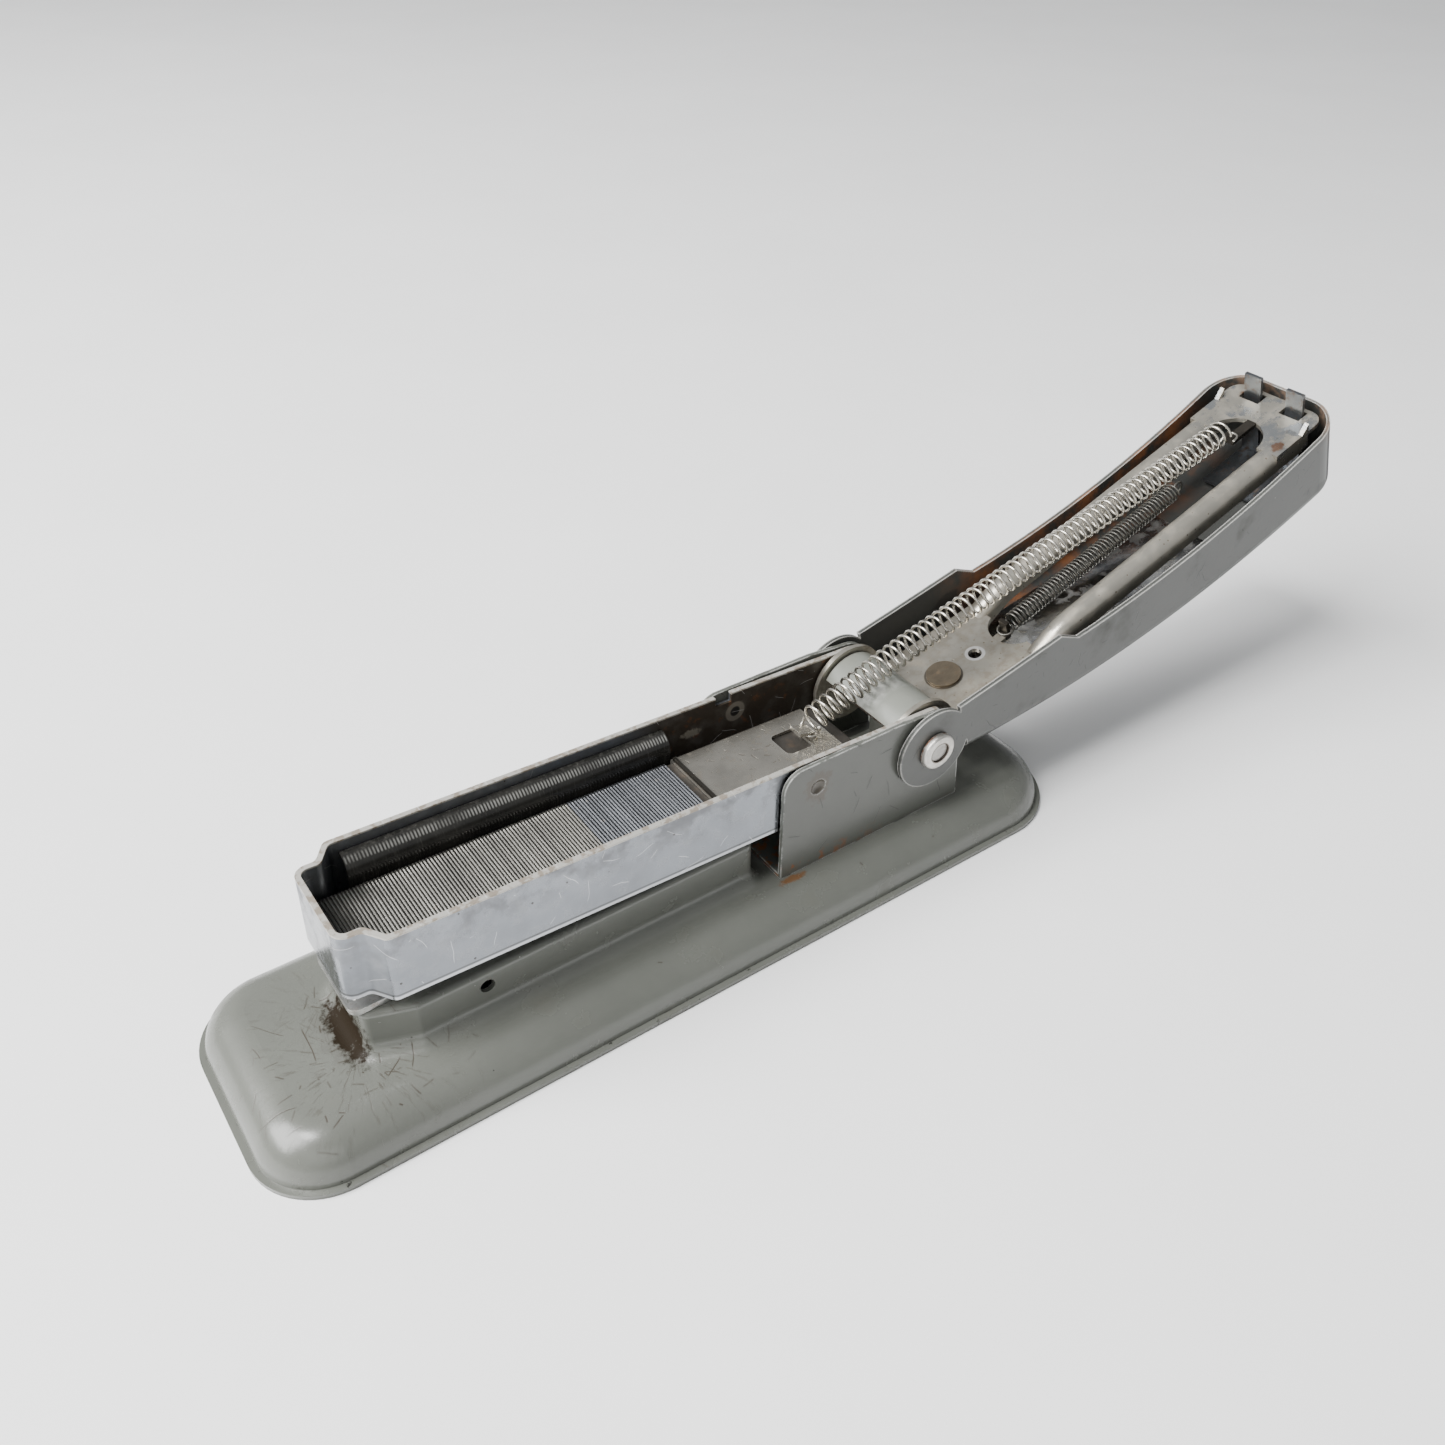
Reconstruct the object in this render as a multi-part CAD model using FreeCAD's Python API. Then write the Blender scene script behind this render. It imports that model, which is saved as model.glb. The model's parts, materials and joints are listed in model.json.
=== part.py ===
"""Desk stapler with its cover laid open for loading.

Millimetres, +Z up, +X from the nose towards the hinge.  The parts are drawn on a bench whose x is
measured from the front edge of the base and whose z = 0 is the table.  Three groups have their own
flat drawing, with the pivot at the origin, and are then turned about the pivot into place:
the magazine group (lying level, nose at -x) and the cover and arm groups (lying along +x).
On export everything moves so that the origin is under the middle of the whole open stapler.
"""
import FreeCAD, Part
import math
import os

V = FreeCAD.Vector
os.makedirs("parts", exist_ok=True)

# ---- driving dimensions -------------------------------------------------------------------------
# base pan, one deep-drawn sheet
NOSE_SETBACK = 17.3
BASE_BEHIND_PIVOT = 28.1
BASE_WIDTH = 39.2
BASE_CORNER_FRONT = 10.6
BASE_CORNER_REAR = 13.2
PAN_WALL = 0.8
FLANGE_WIDTH = 0.9
DECK_HEIGHT = 7.0
DOME_RADIUS = 6.4
RIDGE_FRONT = 18.6
RIDGE_SHOULDER = 25.5
RIDGE_REAR_BEFORE_PIVOT = 31.9
RIDGE_HALF_WIDTH = 9.0
RIDGE_NOSE_HALF_WIDTH = 6.5
RIDGE_TOP = 14.6
RIDGE_EDGE_ROUND = 0.9
RIDGE_FOOT_SHARE = 0.316
RIDGE_CORNER_ROUND = 1.5
PORT_X = 35.4
PORT_DROP = 2.8
PORT_RADIUS = 1.1

# pivot
PIVOT_RADIUS = 2.2
PIVOT_CLEARANCE = 0.06
PIVOT_HEAD_RADIUS = 3.1
PIVOT_HEAD_THICKNESS = 1.1
PIVOT_HEAD_PLAY = 0.15
PIVOT_RECESS_RADIUS = 1.7
PIVOT_RECESS_DEPTH = 0.3
SIDE_GAP = 0.3
EAR_GAP = 0.35
RIVET_RADIUS = 1.2

# anvil
ANVIL_GROOVE_REACH = 3.6
ANVIL_LENGTH = 9.4
ANVIL_WIDTH = 12.8
ANVIL_THICKNESS = 1.0
ANVIL_PIN_RADIUS = 1.6
ANVIL_BUTTON_RADIUS = 3.4
ANVIL_BUTTON_LOW = 4.2
ANVIL_BUTTON_HIGH = 6.0
ANVIL_GROOVE_SPREAD = (2.6, 3.6)
ANVIL_GROOVE_RADIUS = 0.75
ANVIL_GROOVE_HALF_LENGTH = 1.9

# leaf that lifts the magazine
LIFT_RIVET_BEFORE_PIVOT = 45.9
LIFT_REACH = 24.5
LIFT_WIDTH = 7.0
LIFT_SHEET = 0.4
LIFT_RISE = 1.9

# hinge bracket
BRACKET_BEFORE_PIVOT = 28.7
BRACKET_BEHIND_PIVOT = 7.4
BRACKET_WALL = 0.7
BRACKET_RISE = 6.9
BRACKET_EYE = 6.2
BRACKET_CORNER = 3.5
BRACKET_RIVETS_BEFORE_PIVOT = (22.4, 8.4)
DIMPLE_RADIUS = 1.9
GUARD_RADIUS = 6.0
GUARD_WALL = 0.7

# magazine, drawn level
MAG_TILT = 2.233
MAG_LENGTH = 94.6
MAG_HALF_WIDTH = 10.45
MAG_WALL = 0.8
MAG_RIM = 6.03
MAG_CLEARANCE = 0.68
NOSE_NECK = 3.4
NOSE_SHOULDER = 2.1
NOSE_PLAY = 0.35
NOSE_CORNER = 2.0
MAG_FLOOR_END = -8.4

# staples and their guides
STAPLE_CROWN = 12.7
STAPLE_WIRE = 0.5
STAPLE_LEG = 5.0
STAPLE_FLOOR_GAP = 0.16
CROWN_TOP = 0.94
STRIP_FRONT_LENGTH = 37.5
STRIP_REAR_LENGTH = 17.0
BLADE_ROOM = 1.1
FIT_GAP = 0.1
MAG_NOTCH = (-26.5, -23.5)
MAG_NOTCH_DEPTH = 1.6
RIVET_WINDOW_RADIUS = 3.2
GUIDE_SHEET = 0.45
GUIDE_PLAY = 0.6
GUIDE_TOP = 4.2
GUIDE_LENGTH = 51.0
RAIL_SHEET = 0.6
PUSHER_SHEET = 0.6
PUSHER_LENGTH = 24.6
PUSHER_LEAD = 1.3
PUSHER_SKIRT = 4.2
HOOK_FROM_REAR = 3.6
HOOK_HALF_WIDTH = 1.3
HOOK_RISE = 2.0
HOOK_LEAN = 2.2
HOOK_SHEET = 0.7
WINDOW_LENGTH = 4.8
WINDOW_HALF_WIDTH = 2.6
WINDOW_BEFORE_HOOK = 0.4

# cover, drawn along +x
OPEN_ANGLE = 20.56
COVER_WALL = 0.8
COVER_OVERHANG = 2.6
COVER_EAR = 7.0
COVER_CORNER = 7.0
COVER_EDGE_ROUND = 2.6
COVER_EAR_TOP = (6.3, 4.3)
COVER_STEP = (3.4, 3.2)
CROWN_START = 11.6
CROWN_MIDDLE_SHARE = 0.535
COVER_DEPTH_HINGE = -8.8
COVER_DEPTH_MIDDLE = -16.2
COVER_DEPTH_TIP = -15.9
RIM_HINGE = 2.0
RIM_STEP = 28.0
RIM_LOW = -4.2
RIM_LOW_PLACE = 62.0
RIM_TIP = -1.2

# driver arm
ARM_SHEET = 0.8
ARM_EAR_RADIUS = 6.9
ARM_PLATE_START = 7.4
ARM_PLATE_END = 27.5
ARM_PLATE_NEAR = -2.9
ARM_PLATE_FAR = -5.0
ARM_CREST = -2.2
ARM_RIVET_PLACE = 12.8
PILOT_PLACE = 19.8
PILOT_RADIUS = 1.15
SLOT_HALF_WIDTH = 5.1
SLOT_BEFORE_HEAD_END = 7.4
HEAD_GAP = 2.2
FAR_HOOK_BEFORE_SLOT_END = 6.0
NEAR_HOOK_PLACE = 26.4
NEAR_HOOK_HEIGHT = -3.2
HOOK_TAB_HALF_WIDTH = 0.9
HOOK_TAB_RISE = 0.9
HEAD_BEFORE_SLOT_END = 5.0
HEAD_CORNER = 2.6
CHEEK_DEPTH = 3.2
CHEEK_REACH = 3.0
CORNER_TAB_RISE = 1.6
RAIL_LEG_IN = 1.2
RAIL_LEG_OUT = 1.6
RAIL_BEND = 9.0
RAIL_SINK = 0.6
LEAF_SHEET = 0.5
LEAF_HALF_WIDTH = 7.6
LEAF_BEFORE_HEAD_END = 25.0
LEAF_LAP = 4.0
LEAF_BELOW_RAIL = 0.5
BLADE_SHEET = 0.6
BLADE_PLAY = 0.5
BLADE_SETBACK = 1.24
BLADE_LEAN = 0.46
BLADE_TIP_HEIGHT = 1.98
BLADE_ROOT_HEIGHT = -12.6
BLADE_FOOT = 7.4
BLADE_NOTCH_HALF_WIDTH = 2.6
TONGUE_HALF_WIDTH = 2.2
BLADE_FOOT_LAP = 3.5
BLADE_RIVET_HEAD = 2.4

# coil springs, drawn as the sleeve that their turns fill
FOLLOWER_SPRING_RADIUS = 2.35
FOLLOWER_WIRE = 0.5
RETURN_SPRING_RADIUS = 1.7
RETURN_WIRE = 0.45
RETURN_SPRING_RUN = 40.0

# ---- sizes that follow --------------------------------------------------------------------------
MAG_BOTTOM = CROWN_TOP - STAPLE_LEG - STAPLE_FLOOR_GAP - MAG_WALL
NOSE_FRONT = -MAG_LENGTH
NOSE_HALF_WIDTH = STAPLE_CROWN / 2 + NOSE_PLAY + MAG_WALL
GUIDE_WEB = STAPLE_CROWN / 2 + GUIDE_PLAY
PIVOT_X = NOSE_SETBACK + MAG_LENGTH
PIVOT_Z = RIDGE_TOP - MAG_BOTTOM + MAG_CLEARANCE
BASE_LENGTH = PIVOT_X + BASE_BEHIND_PIVOT
RIDGE_REAR = PIVOT_X - RIDGE_REAR_BEFORE_PIVOT
RIDGE_FOOT_ROUND = RIDGE_FOOT_SHARE * (RIDGE_TOP - DECK_HEIGHT)
BRACKET_FRONT = PIVOT_X - BRACKET_BEFORE_PIVOT
BRACKET_REAR = PIVOT_X + BRACKET_BEHIND_PIVOT
BRACKET_TOP = PIVOT_Z + BRACKET_RISE
LIFT_RIVET_X = PIVOT_X - LIFT_RIVET_BEFORE_PIVOT
bracket_inner = MAG_HALF_WIDTH + SIDE_GAP
bracket_outer = bracket_inner + BRACKET_WALL
bracket_rivets_x = [PIVOT_X - distance for distance in BRACKET_RIVETS_BEFORE_PIVOT]
anvil_x = NOSE_SETBACK + MAG_WALL + BLADE_SHEET + ANVIL_GROOVE_REACH
anvil_top = RIDGE_TOP + ANVIL_THICKNESS
shaft_hole = PIVOT_RADIUS + PIVOT_CLEARANCE

mag_inner = MAG_HALF_WIDTH - MAG_WALL
floor_top = MAG_BOTTOM + MAG_WALL
nose_inside = NOSE_FRONT + MAG_WALL
strip_start = nose_inside + BLADE_ROOM
strip_join = strip_start + STRIP_FRONT_LENGTH
strip_end = strip_join + STRIP_REAR_LENGTH
staple_room = STAPLE_CROWN / 2 + FIT_GAP
pusher_front = strip_end + PUSHER_LEAD
pusher_rear = pusher_front + PUSHER_LENGTH
hook_x = pusher_rear - HOOK_FROM_REAR
rail_half = STAPLE_CROWN / 2 - STAPLE_WIRE - FIT_GAP
rail_top = CROWN_TOP - STAPLE_WIRE - FIT_GAP

cover_inner = bracket_outer + EAR_GAP
COVER_HALF_WIDTH = cover_inner + COVER_WALL
COVER_LENGTH = MAG_LENGTH + COVER_OVERHANG
CROWN_MIDDLE = CROWN_MIDDLE_SHARE * COVER_LENGTH
ARM_EAR_OUTER = mag_inner - SIDE_GAP
RAIL_OUTER = ARM_EAR_OUTER - 0.05
HEAD_END = COVER_LENGTH - HEAD_GAP
SLOT_END = HEAD_END - SLOT_BEFORE_HEAD_END
BLADE_WIDTH = STAPLE_CROWN - BLADE_PLAY
BLADE_TIP = (MAG_LENGTH - BLADE_SETBACK, BLADE_TIP_HEIGHT)
BLADE_ROOT = (BLADE_TIP[0] - BLADE_LEAN, BLADE_ROOT_HEIGHT)
blade_foot_rivet = BLADE_ROOT[0] - BLADE_FOOT
far_hook_x = SLOT_END - FAR_HOOK_BEFORE_SLOT_END
arm_ear_inner = ARM_EAR_OUTER - ARM_SHEET
rail_mid = (SLOT_HALF_WIDTH + RAIL_OUTER) / 2
rail_radius = (RAIL_OUTER - SLOT_HALF_WIDTH) / 2
rail_start = ARM_PLATE_END - 1.0
rail_blend = 6.0
rail_low = ARM_PLATE_FAR - rail_radius + RAIL_SINK
head_top = ARM_CREST - 0.2
slot_clear = 0.55

# ---- drawing helpers ----------------------------------------------------------------------------


def corner_arc(before, corner, after, radius):
    """Two tangent points and the middle of the arc that rounds one corner."""
    a = (before - corner).normalize()
    b = (after - corner).normalize()
    half = math.acos(max(-1.0, min(1.0, a.dot(b)))) / 2
    run = radius / math.tan(half)
    centre = corner + (a + b).normalize() * (radius / math.sin(half))
    middle = centre + (corner - centre).normalize() * radius
    return corner + a * run, middle, corner + b * run


def outline(points, radii):
    """Closed wire through the points, each corner rounded by its own radius."""
    count = len(points)
    spans = []
    for i, point in enumerate(points):
        if radii[i] > 0:
            spans.append(corner_arc(points[i - 1], point, points[(i + 1) % count], radii[i]))
        else:
            spans.append((point, None, point))
    edges = []
    for i, (start, middle, end) in enumerate(spans):
        if middle is not None:
            edges.append(Part.Arc(start, middle, end).toShape())
        follow = spans[(i + 1) % count][0]
        if end.distanceToPoint(follow) > 1e-6:
            edges.append(Part.LineSegment(end, follow).toShape())
    return Part.Wire(edges)


def prism_xz(points, half_width, radii=None, centre_y=0.0):
    radii = radii or [0] * len(points)
    wire = outline([V(x, centre_y - half_width, z) for x, z in points], radii)
    return Part.Face(wire).extrude(V(0, 2 * half_width, 0))


def prism_xy(points, low, high, radii=None):
    radii = radii or [0] * len(points)
    wire = outline([V(x, y, low) for x, y in points], radii)
    return Part.Face(wire).extrude(V(0, 0, high - low))


def prism_yz(points, start, end, radii=None):
    radii = radii or [0] * len(points)
    wire = outline([V(start, y, z) for y, z in points], radii)
    return Part.Face(wire).extrude(V(end - start, 0, 0))


def block(x0, x1, y0, y1, z0, z1):
    return Part.makeBox(x1 - x0, y1 - y0, z1 - z0, V(x0, y0, z0))


def rod_y(x, z, radius, y0, y1):
    return Part.makeCylinder(radius, y1 - y0, V(x, y0, z), V(0, 1, 0))


def rod_z(x, y, radius, z0, z1):
    return Part.makeCylinder(radius, z1 - z0, V(x, y, z0), V(0, 0, 1))


def both_sides(shape):
    """The shape and its mirror image on the other side of the middle plane."""
    return shape.fuse(shape.mirror(V(0, 0, 0), V(0, 1, 0)))


def side_plate(make, inner, outer):
    """A plate drawn by make(half_width) kept between two distances from the middle plane."""
    return make(outer).cut(make(inner))


def around_pivot(shape, degrees):
    """Turn a group drawing about +Y and carry its origin to the pivot."""
    placed = shape.copy()
    placed.rotate(V(0, 0, 0), V(0, 1, 0), degrees)
    placed.translate(V(PIVOT_X, 0, PIVOT_Z))
    return placed


def in_magazine(shape):
    return around_pivot(shape, MAG_TILT)


def in_cover(shape):
    return around_pivot(shape, -OPEN_ANGLE)


def sleeve(path, radii, outer, wall):
    """Tube along straight runs joined by tangent arcs."""
    edges = []
    last = path[0]
    for i in range(1, len(path) - 1):
        start, middle, end = corner_arc(path[i - 1], path[i], path[i + 1], radii[i - 1])
        edges.append(Part.LineSegment(last, start).toShape())
        edges.append(Part.Arc(start, middle, end).toShape())
        last = end
    edges.append(Part.LineSegment(last, path[-1]).toShape())
    spine = Part.Wire(edges)
    direction = (path[1] - path[0]).normalize()
    rings = [Part.Wire(Part.Circle(path[0], direction, r).toShape()) for r in (outer, outer - wall)]
    solids = [spine.makePipeShell([ring], True, False) for ring in rings]
    return solids[0].cut(solids[1])


# ---- base group ---------------------------------------------------------------------------------
def pan_plan(inset, corner_inset):
    """Corners of the base seen from above, drawn in by an inset at the ends and the sides."""
    half = BASE_WIDTH / 2 - inset[1]
    x0, x1 = inset[0], BASE_LENGTH - inset[0]
    front = BASE_CORNER_FRONT - corner_inset
    rear = BASE_CORNER_REAR - corner_inset
    return [(x0, -half), (x1, -half), (x1, half), (x0, half)], [front, rear, rear, front]


def pan_form(wall):
    """Domed outside of the pan, or with a wall its hollow underside."""
    edge = FLANGE_WIDTH + wall
    points, radii = pan_plan((edge, edge), edge)
    form = prism_xy(points, -1.0 if wall else 0.0, DECK_HEIGHT - wall, radii)
    top = [e for e in form.Edges if e.BoundBox.ZMin > DECK_HEIGHT - wall - 0.01]
    return form.makeFillet(DOME_RADIUS - wall, top)


def ridge_form(wall):
    """Raised rib that the magazine lies over."""
    low = 3.0
    top = RIDGE_TOP - wall
    x0, x1 = RIDGE_FRONT + wall, RIDGE_REAR - wall
    half, nose = RIDGE_HALF_WIDTH - wall, RIDGE_NOSE_HALF_WIDTH - wall
    shoulder = RIDGE_SHOULDER + wall / 2
    plan = [(x0, -nose), (shoulder, -half), (x1, -half), (x1, half), (shoulder, half), (x0, nose)]
    return prism_xy(plan, low, top, [RIDGE_CORNER_ROUND - wall] * 6)


def on_deck(edge):
    return max(abs(v.Z - DECK_HEIGHT) for v in edge.Vertexes) < 0.01 and edge.BoundBox.ZLength < 0.01


def beside_ridge(edge):
    """True for an edge of the ridge's foot, well inside the rounded border of the deck."""
    box = edge.BoundBox
    half = RIDGE_HALF_WIDTH + 0.1
    along = box.XMin > RIDGE_FRONT - 0.1 and box.XMax < RIDGE_REAR + 0.1
    return along and box.YMin > -half and box.YMax < half


def base_pan():
    points, radii = pan_plan((0, 0), 0)
    flange = prism_xy(points, 0, PAN_WALL, radii)
    shell = flange.fuse(pan_form(0)).fuse(ridge_form(0)).removeSplitter()
    rim = [edge for edge in shell.Edges
           if min(v.Z for v in edge.Vertexes) > RIDGE_TOP - 0.01 and edge.Length > 1.0]
    shell = shell.makeFillet(RIDGE_EDGE_ROUND, rim)
    foot = [edge for edge in shell.Edges if on_deck(edge) and beside_ridge(edge)]
    shell = shell.makeFillet(RIDGE_FOOT_ROUND, foot)
    hollow = pan_form(PAN_WALL).fuse(ridge_form(PAN_WALL))
    shell = shell.cut(hollow)
    for x, radius in ((anvil_x, ANVIL_PIN_RADIUS + FIT_GAP), (LIFT_RIVET_X, RIVET_RADIUS)):
        shell = shell.cut(rod_z(x, 0, radius, 0, RIDGE_TOP + 1))
    for x in bracket_rivets_x:
        shell = shell.cut(rod_z(x, 0, RIVET_RADIUS, 0, DECK_HEIGHT + 1))
    ports = rod_y(PORT_X, RIDGE_TOP - PORT_DROP, PORT_RADIUS, -RIDGE_HALF_WIDTH - 1, RIDGE_HALF_WIDTH + 1)
    return shell.cut(ports)


def anvil_plate():
    """Clinching plate with two pairs of grooves, one pair for each way round."""
    reach_x, reach_y = ANVIL_LENGTH / 2, ANVIL_WIDTH / 2
    plate = prism_xy([(anvil_x - reach_x, -reach_y), (anvil_x + reach_x, -reach_y),
                      (anvil_x + reach_x, reach_y), (anvil_x - reach_x, reach_y)],
                     RIDGE_TOP + 0.05, anvil_top, [1.5] * 4)
    ends = (-ANVIL_GROOVE_REACH, ANVIL_GROOVE_REACH)
    half = ANVIL_GROOVE_HALF_LENGTH
    for reach, spread in zip(ends, ANVIL_GROOVE_SPREAD):
        for middle in (-spread, spread):
            groove = rod_y(anvil_x + reach, anvil_top + 0.35, ANVIL_GROOVE_RADIUS, middle - half,
                           middle + half)
            plate = plate.cut(groove)
    return plate.cut(rod_z(anvil_x, 0, ANVIL_PIN_RADIUS, RIDGE_TOP - 1, anvil_top + 1))


def anvil_pin():
    """Turned pin: riveted flush in the plate, through the ridge, with a push button below."""
    shank = rod_z(anvil_x, 0, ANVIL_PIN_RADIUS, ANVIL_BUTTON_HIGH, anvil_top)
    button = rod_z(anvil_x, 0, ANVIL_BUTTON_RADIUS, ANVIL_BUTTON_LOW, ANVIL_BUTTON_HIGH)
    button = button.makeFillet(0.6, [e for e in button.Edges if e.Vertexes[0].Z < ANVIL_BUTTON_LOW + 0.1])
    return shank.fuse(button)


def anvil_spring():
    """Sleeve of the small compression spring between the button and the ridge."""
    low, high = ANVIL_BUTTON_HIGH, RIDGE_TOP - PAN_WALL
    outer, inner = ANVIL_PIN_RADIUS + 0.9, ANVIL_PIN_RADIUS + 0.4
    return rod_z(anvil_x, 0, outer, low, high).cut(rod_z(anvil_x, 0, inner, low - 1, high + 1))


def lift_spring():
    """Leaf that holds the magazine up: flat at its rivet, rising to the magazine floor."""
    tail = LIFT_RIVET_X + 5.0
    tip_x, tip_z = LIFT_RIVET_X - LIFT_REACH, RIDGE_TOP + LIFT_RISE
    start = LIFT_RIVET_X - 4.5
    low = RIDGE_TOP
    points = [(tail, low), (start, low), (tip_x, tip_z), (tip_x - 2.5, tip_z - 0.5),
              (tip_x - 2.5, tip_z - 0.5 + LIFT_SHEET), (tip_x, tip_z + LIFT_SHEET),
              (start, low + LIFT_SHEET), (tail, low + LIFT_SHEET)]
    leaf = prism_xz(points, LIFT_WIDTH / 2)
    return leaf.cut(rod_z(LIFT_RIVET_X, 0, RIVET_RADIUS, low - 1, low + 2))


def rivet_z(x, y, low, high, head_low, head_high, shank=None):
    """Vertical rivet: shank and two low heads, each head (radius, thickness)."""
    solid = rod_z(x, y, shank or RIVET_RADIUS, low, high)
    solid = solid.fuse(rod_z(x, y, head_low[0], low - head_low[1], low))
    return solid.fuse(rod_z(x, y, head_high[0], high, high + head_high[1]))


def lift_rivet():
    return rivet_z(LIFT_RIVET_X, 0, RIDGE_TOP - PAN_WALL, RIDGE_TOP + LIFT_SHEET, (2.0, 0.5), (2.0, 0.4))


def bracket_side(half_width):
    eye = rod_y(PIVOT_X, PIVOT_Z, BRACKET_EYE, -half_width, half_width)
    points = [(BRACKET_FRONT, DECK_HEIGHT), (BRACKET_REAR, DECK_HEIGHT), (PIVOT_X + BRACKET_EYE, PIVOT_Z),
              (PIVOT_X, PIVOT_Z), (PIVOT_X, PIVOT_Z + BRACKET_EYE), (PIVOT_X - BRACKET_RISE, BRACKET_TOP),
              (BRACKET_FRONT, BRACKET_TOP)]
    return prism_xz(points, half_width, [0, 0, 0, 0, 0, 2.0, BRACKET_CORNER]).fuse(eye)


def hinge_bracket():
    """U-shaped bracket, standing on the deck behind the ridge."""
    walls = side_plate(bracket_side, bracket_inner, bracket_outer)
    floor = block(BRACKET_FRONT, BRACKET_REAR, -bracket_outer, bracket_outer, DECK_HEIGHT,
                  DECK_HEIGHT + BRACKET_WALL)
    bracket = walls.fuse(floor).removeSplitter()
    bracket = bracket.cut(rod_y(PIVOT_X, PIVOT_Z, PIVOT_RADIUS, -bracket_outer - 1, bracket_outer + 1))
    for x in bracket_rivets_x:
        bracket = bracket.cut(rod_z(x, 0, RIVET_RADIUS, DECK_HEIGHT - 1, DECK_HEIGHT + 2))
    dimple = Part.makeSphere(DIMPLE_RADIUS, V(bracket_rivets_x[0], bracket_outer + 1.3, PIVOT_Z + 2.3))
    return bracket.cut(both_sides(dimple))


def pivot_guard():
    """Rolled tongue over the pivot, on a leg of its own, that the long spring slides over."""
    inner = GUARD_RADIUS - GUARD_WALL
    half = arm_ear_inner - SIDE_GAP
    roll = rod_y(PIVOT_X, PIVOT_Z, GUARD_RADIUS, -half, half)
    roll = roll.cut(rod_y(PIVOT_X, PIVOT_Z, inner, -half - 1, half + 1))
    keep = [(PIVOT_X, PIVOT_Z), (PIVOT_X + 8, PIVOT_Z), (PIVOT_X + 8, PIVOT_Z + 8),
            (PIVOT_X - 8, PIVOT_Z + 8), (PIVOT_X - 8, PIVOT_Z + 4.4)]
    roll = roll.common(prism_xz(keep, half + 1))
    foot = DECK_HEIGHT + BRACKET_WALL
    leg = block(PIVOT_X + inner, PIVOT_X + GUARD_RADIUS, -half, half, foot, PIVOT_Z)
    sole = block(bracket_rivets_x[1] - 3, PIVOT_X + GUARD_RADIUS, -half, half, foot, foot + GUARD_WALL)
    hole = rod_z(bracket_rivets_x[1], 0, RIVET_RADIUS, foot - 1, foot + 2)
    return roll.fuse(leg).fuse(sole).removeSplitter().cut(hole)


def bracket_rivet(index):
    stack = DECK_HEIGHT + BRACKET_WALL + (GUARD_WALL if index == 1 else 0)
    return rivet_z(bracket_rivets_x[index], 0, DECK_HEIGHT - PAN_WALL, stack, (2.6, 0.6), (2.6, 0.8))


def pivot_rivet():
    """Rivet with a shallow recess in the face of each head."""
    seat = COVER_HALF_WIDTH + PIVOT_HEAD_PLAY
    end = seat + PIVOT_HEAD_THICKNESS
    body = rod_y(PIVOT_X, PIVOT_Z, PIVOT_RADIUS, -end, end)
    head = rod_y(PIVOT_X, PIVOT_Z, PIVOT_HEAD_RADIUS, seat, end)
    head = head.makeFillet(0.5, [e for e in head.Edges if e.BoundBox.YMin > end - 0.01])
    body = body.fuse(both_sides(head))
    recess = rod_y(PIVOT_X, PIVOT_Z, PIVOT_RECESS_RADIUS, end - PIVOT_RECESS_DEPTH, end + 1)
    return body.cut(both_sides(recess))


# ---- magazine group, drawn level with the pivot at the origin -----------------------------------
def magazine_plan(inset, reach):
    """Outline from above: narrow nose, round shoulders, straight sides."""
    nose, body = NOSE_HALF_WIDTH - inset, MAG_HALF_WIDTH - inset
    neck = NOSE_FRONT + NOSE_NECK + inset / 2
    front = NOSE_FRONT + inset
    shoulder = neck + NOSE_SHOULDER
    half = [(front, -nose), (neck, -nose), (shoulder, -body), (reach, -body)]
    radii = [NOSE_CORNER - inset, 1.2, 1.2, 0]
    return half + [(x, -y) for x, y in reversed(half)], radii + radii[::-1]


def magazine_channel():
    reach = MAG_RIM
    points, radii = magazine_plan(0, reach)
    outer = prism_xy(points, MAG_BOTTOM, MAG_RIM, radii)
    points, radii = magazine_plan(MAG_WALL, reach + 1)
    channel = outer.cut(prism_xy(points, floor_top, MAG_RIM + 1, radii))
    eye = rod_y(0, 0, MAG_RIM, -MAG_HALF_WIDTH - 1, MAG_HALF_WIDTH + 1)
    long_part = block(NOSE_FRONT - 1, 0, -MAG_HALF_WIDTH - 1, MAG_HALF_WIDTH + 1, MAG_BOTTOM, MAG_RIM)
    channel = channel.common(long_part.fuse(eye))
    channel = channel.cut(block(MAG_FLOOR_END, MAG_RIM + 1, -mag_inner, mag_inner, MAG_BOTTOM - 1, 0))
    exit_slot = block(nose_inside, strip_start, -staple_room, staple_room, MAG_BOTTOM - 1, floor_top + 1)
    rivet_window = rod_z(LIFT_RIVET_X - PIVOT_X, 0, RIVET_WINDOW_RADIUS, MAG_BOTTOM - 1, floor_top + 1)
    channel = channel.cut(exit_slot).cut(rivet_window)
    channel = channel.cut(rod_y(0, 0, shaft_hole, -MAG_HALF_WIDTH - 1, MAG_HALF_WIDTH + 1))
    notch = block(MAG_NOTCH[0], MAG_NOTCH[1], mag_inner - 0.1, MAG_HALF_WIDTH + 1,
                  MAG_RIM - MAG_NOTCH_DEPTH, MAG_RIM + 1)
    return channel.cut(notch)


def core_rail():
    """Inverted channel that carries the staples."""
    rear = MAG_FLOOR_END - 1.5
    outer = block(strip_start, rear, -rail_half, rail_half, floor_top, rail_top)
    inner = rail_half - RAIL_SHEET
    rail = outer.cut(block(strip_start - 1, rear + 1, -inner, inner, floor_top - 1, rail_top - RAIL_SHEET))
    window = block(LIFT_RIVET_X - PIVOT_X - 4, LIFT_RIVET_X - PIVOT_X + 4, -3, 3, rail_top - 2, rail_top + 1)
    return rail.cut(window)


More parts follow.
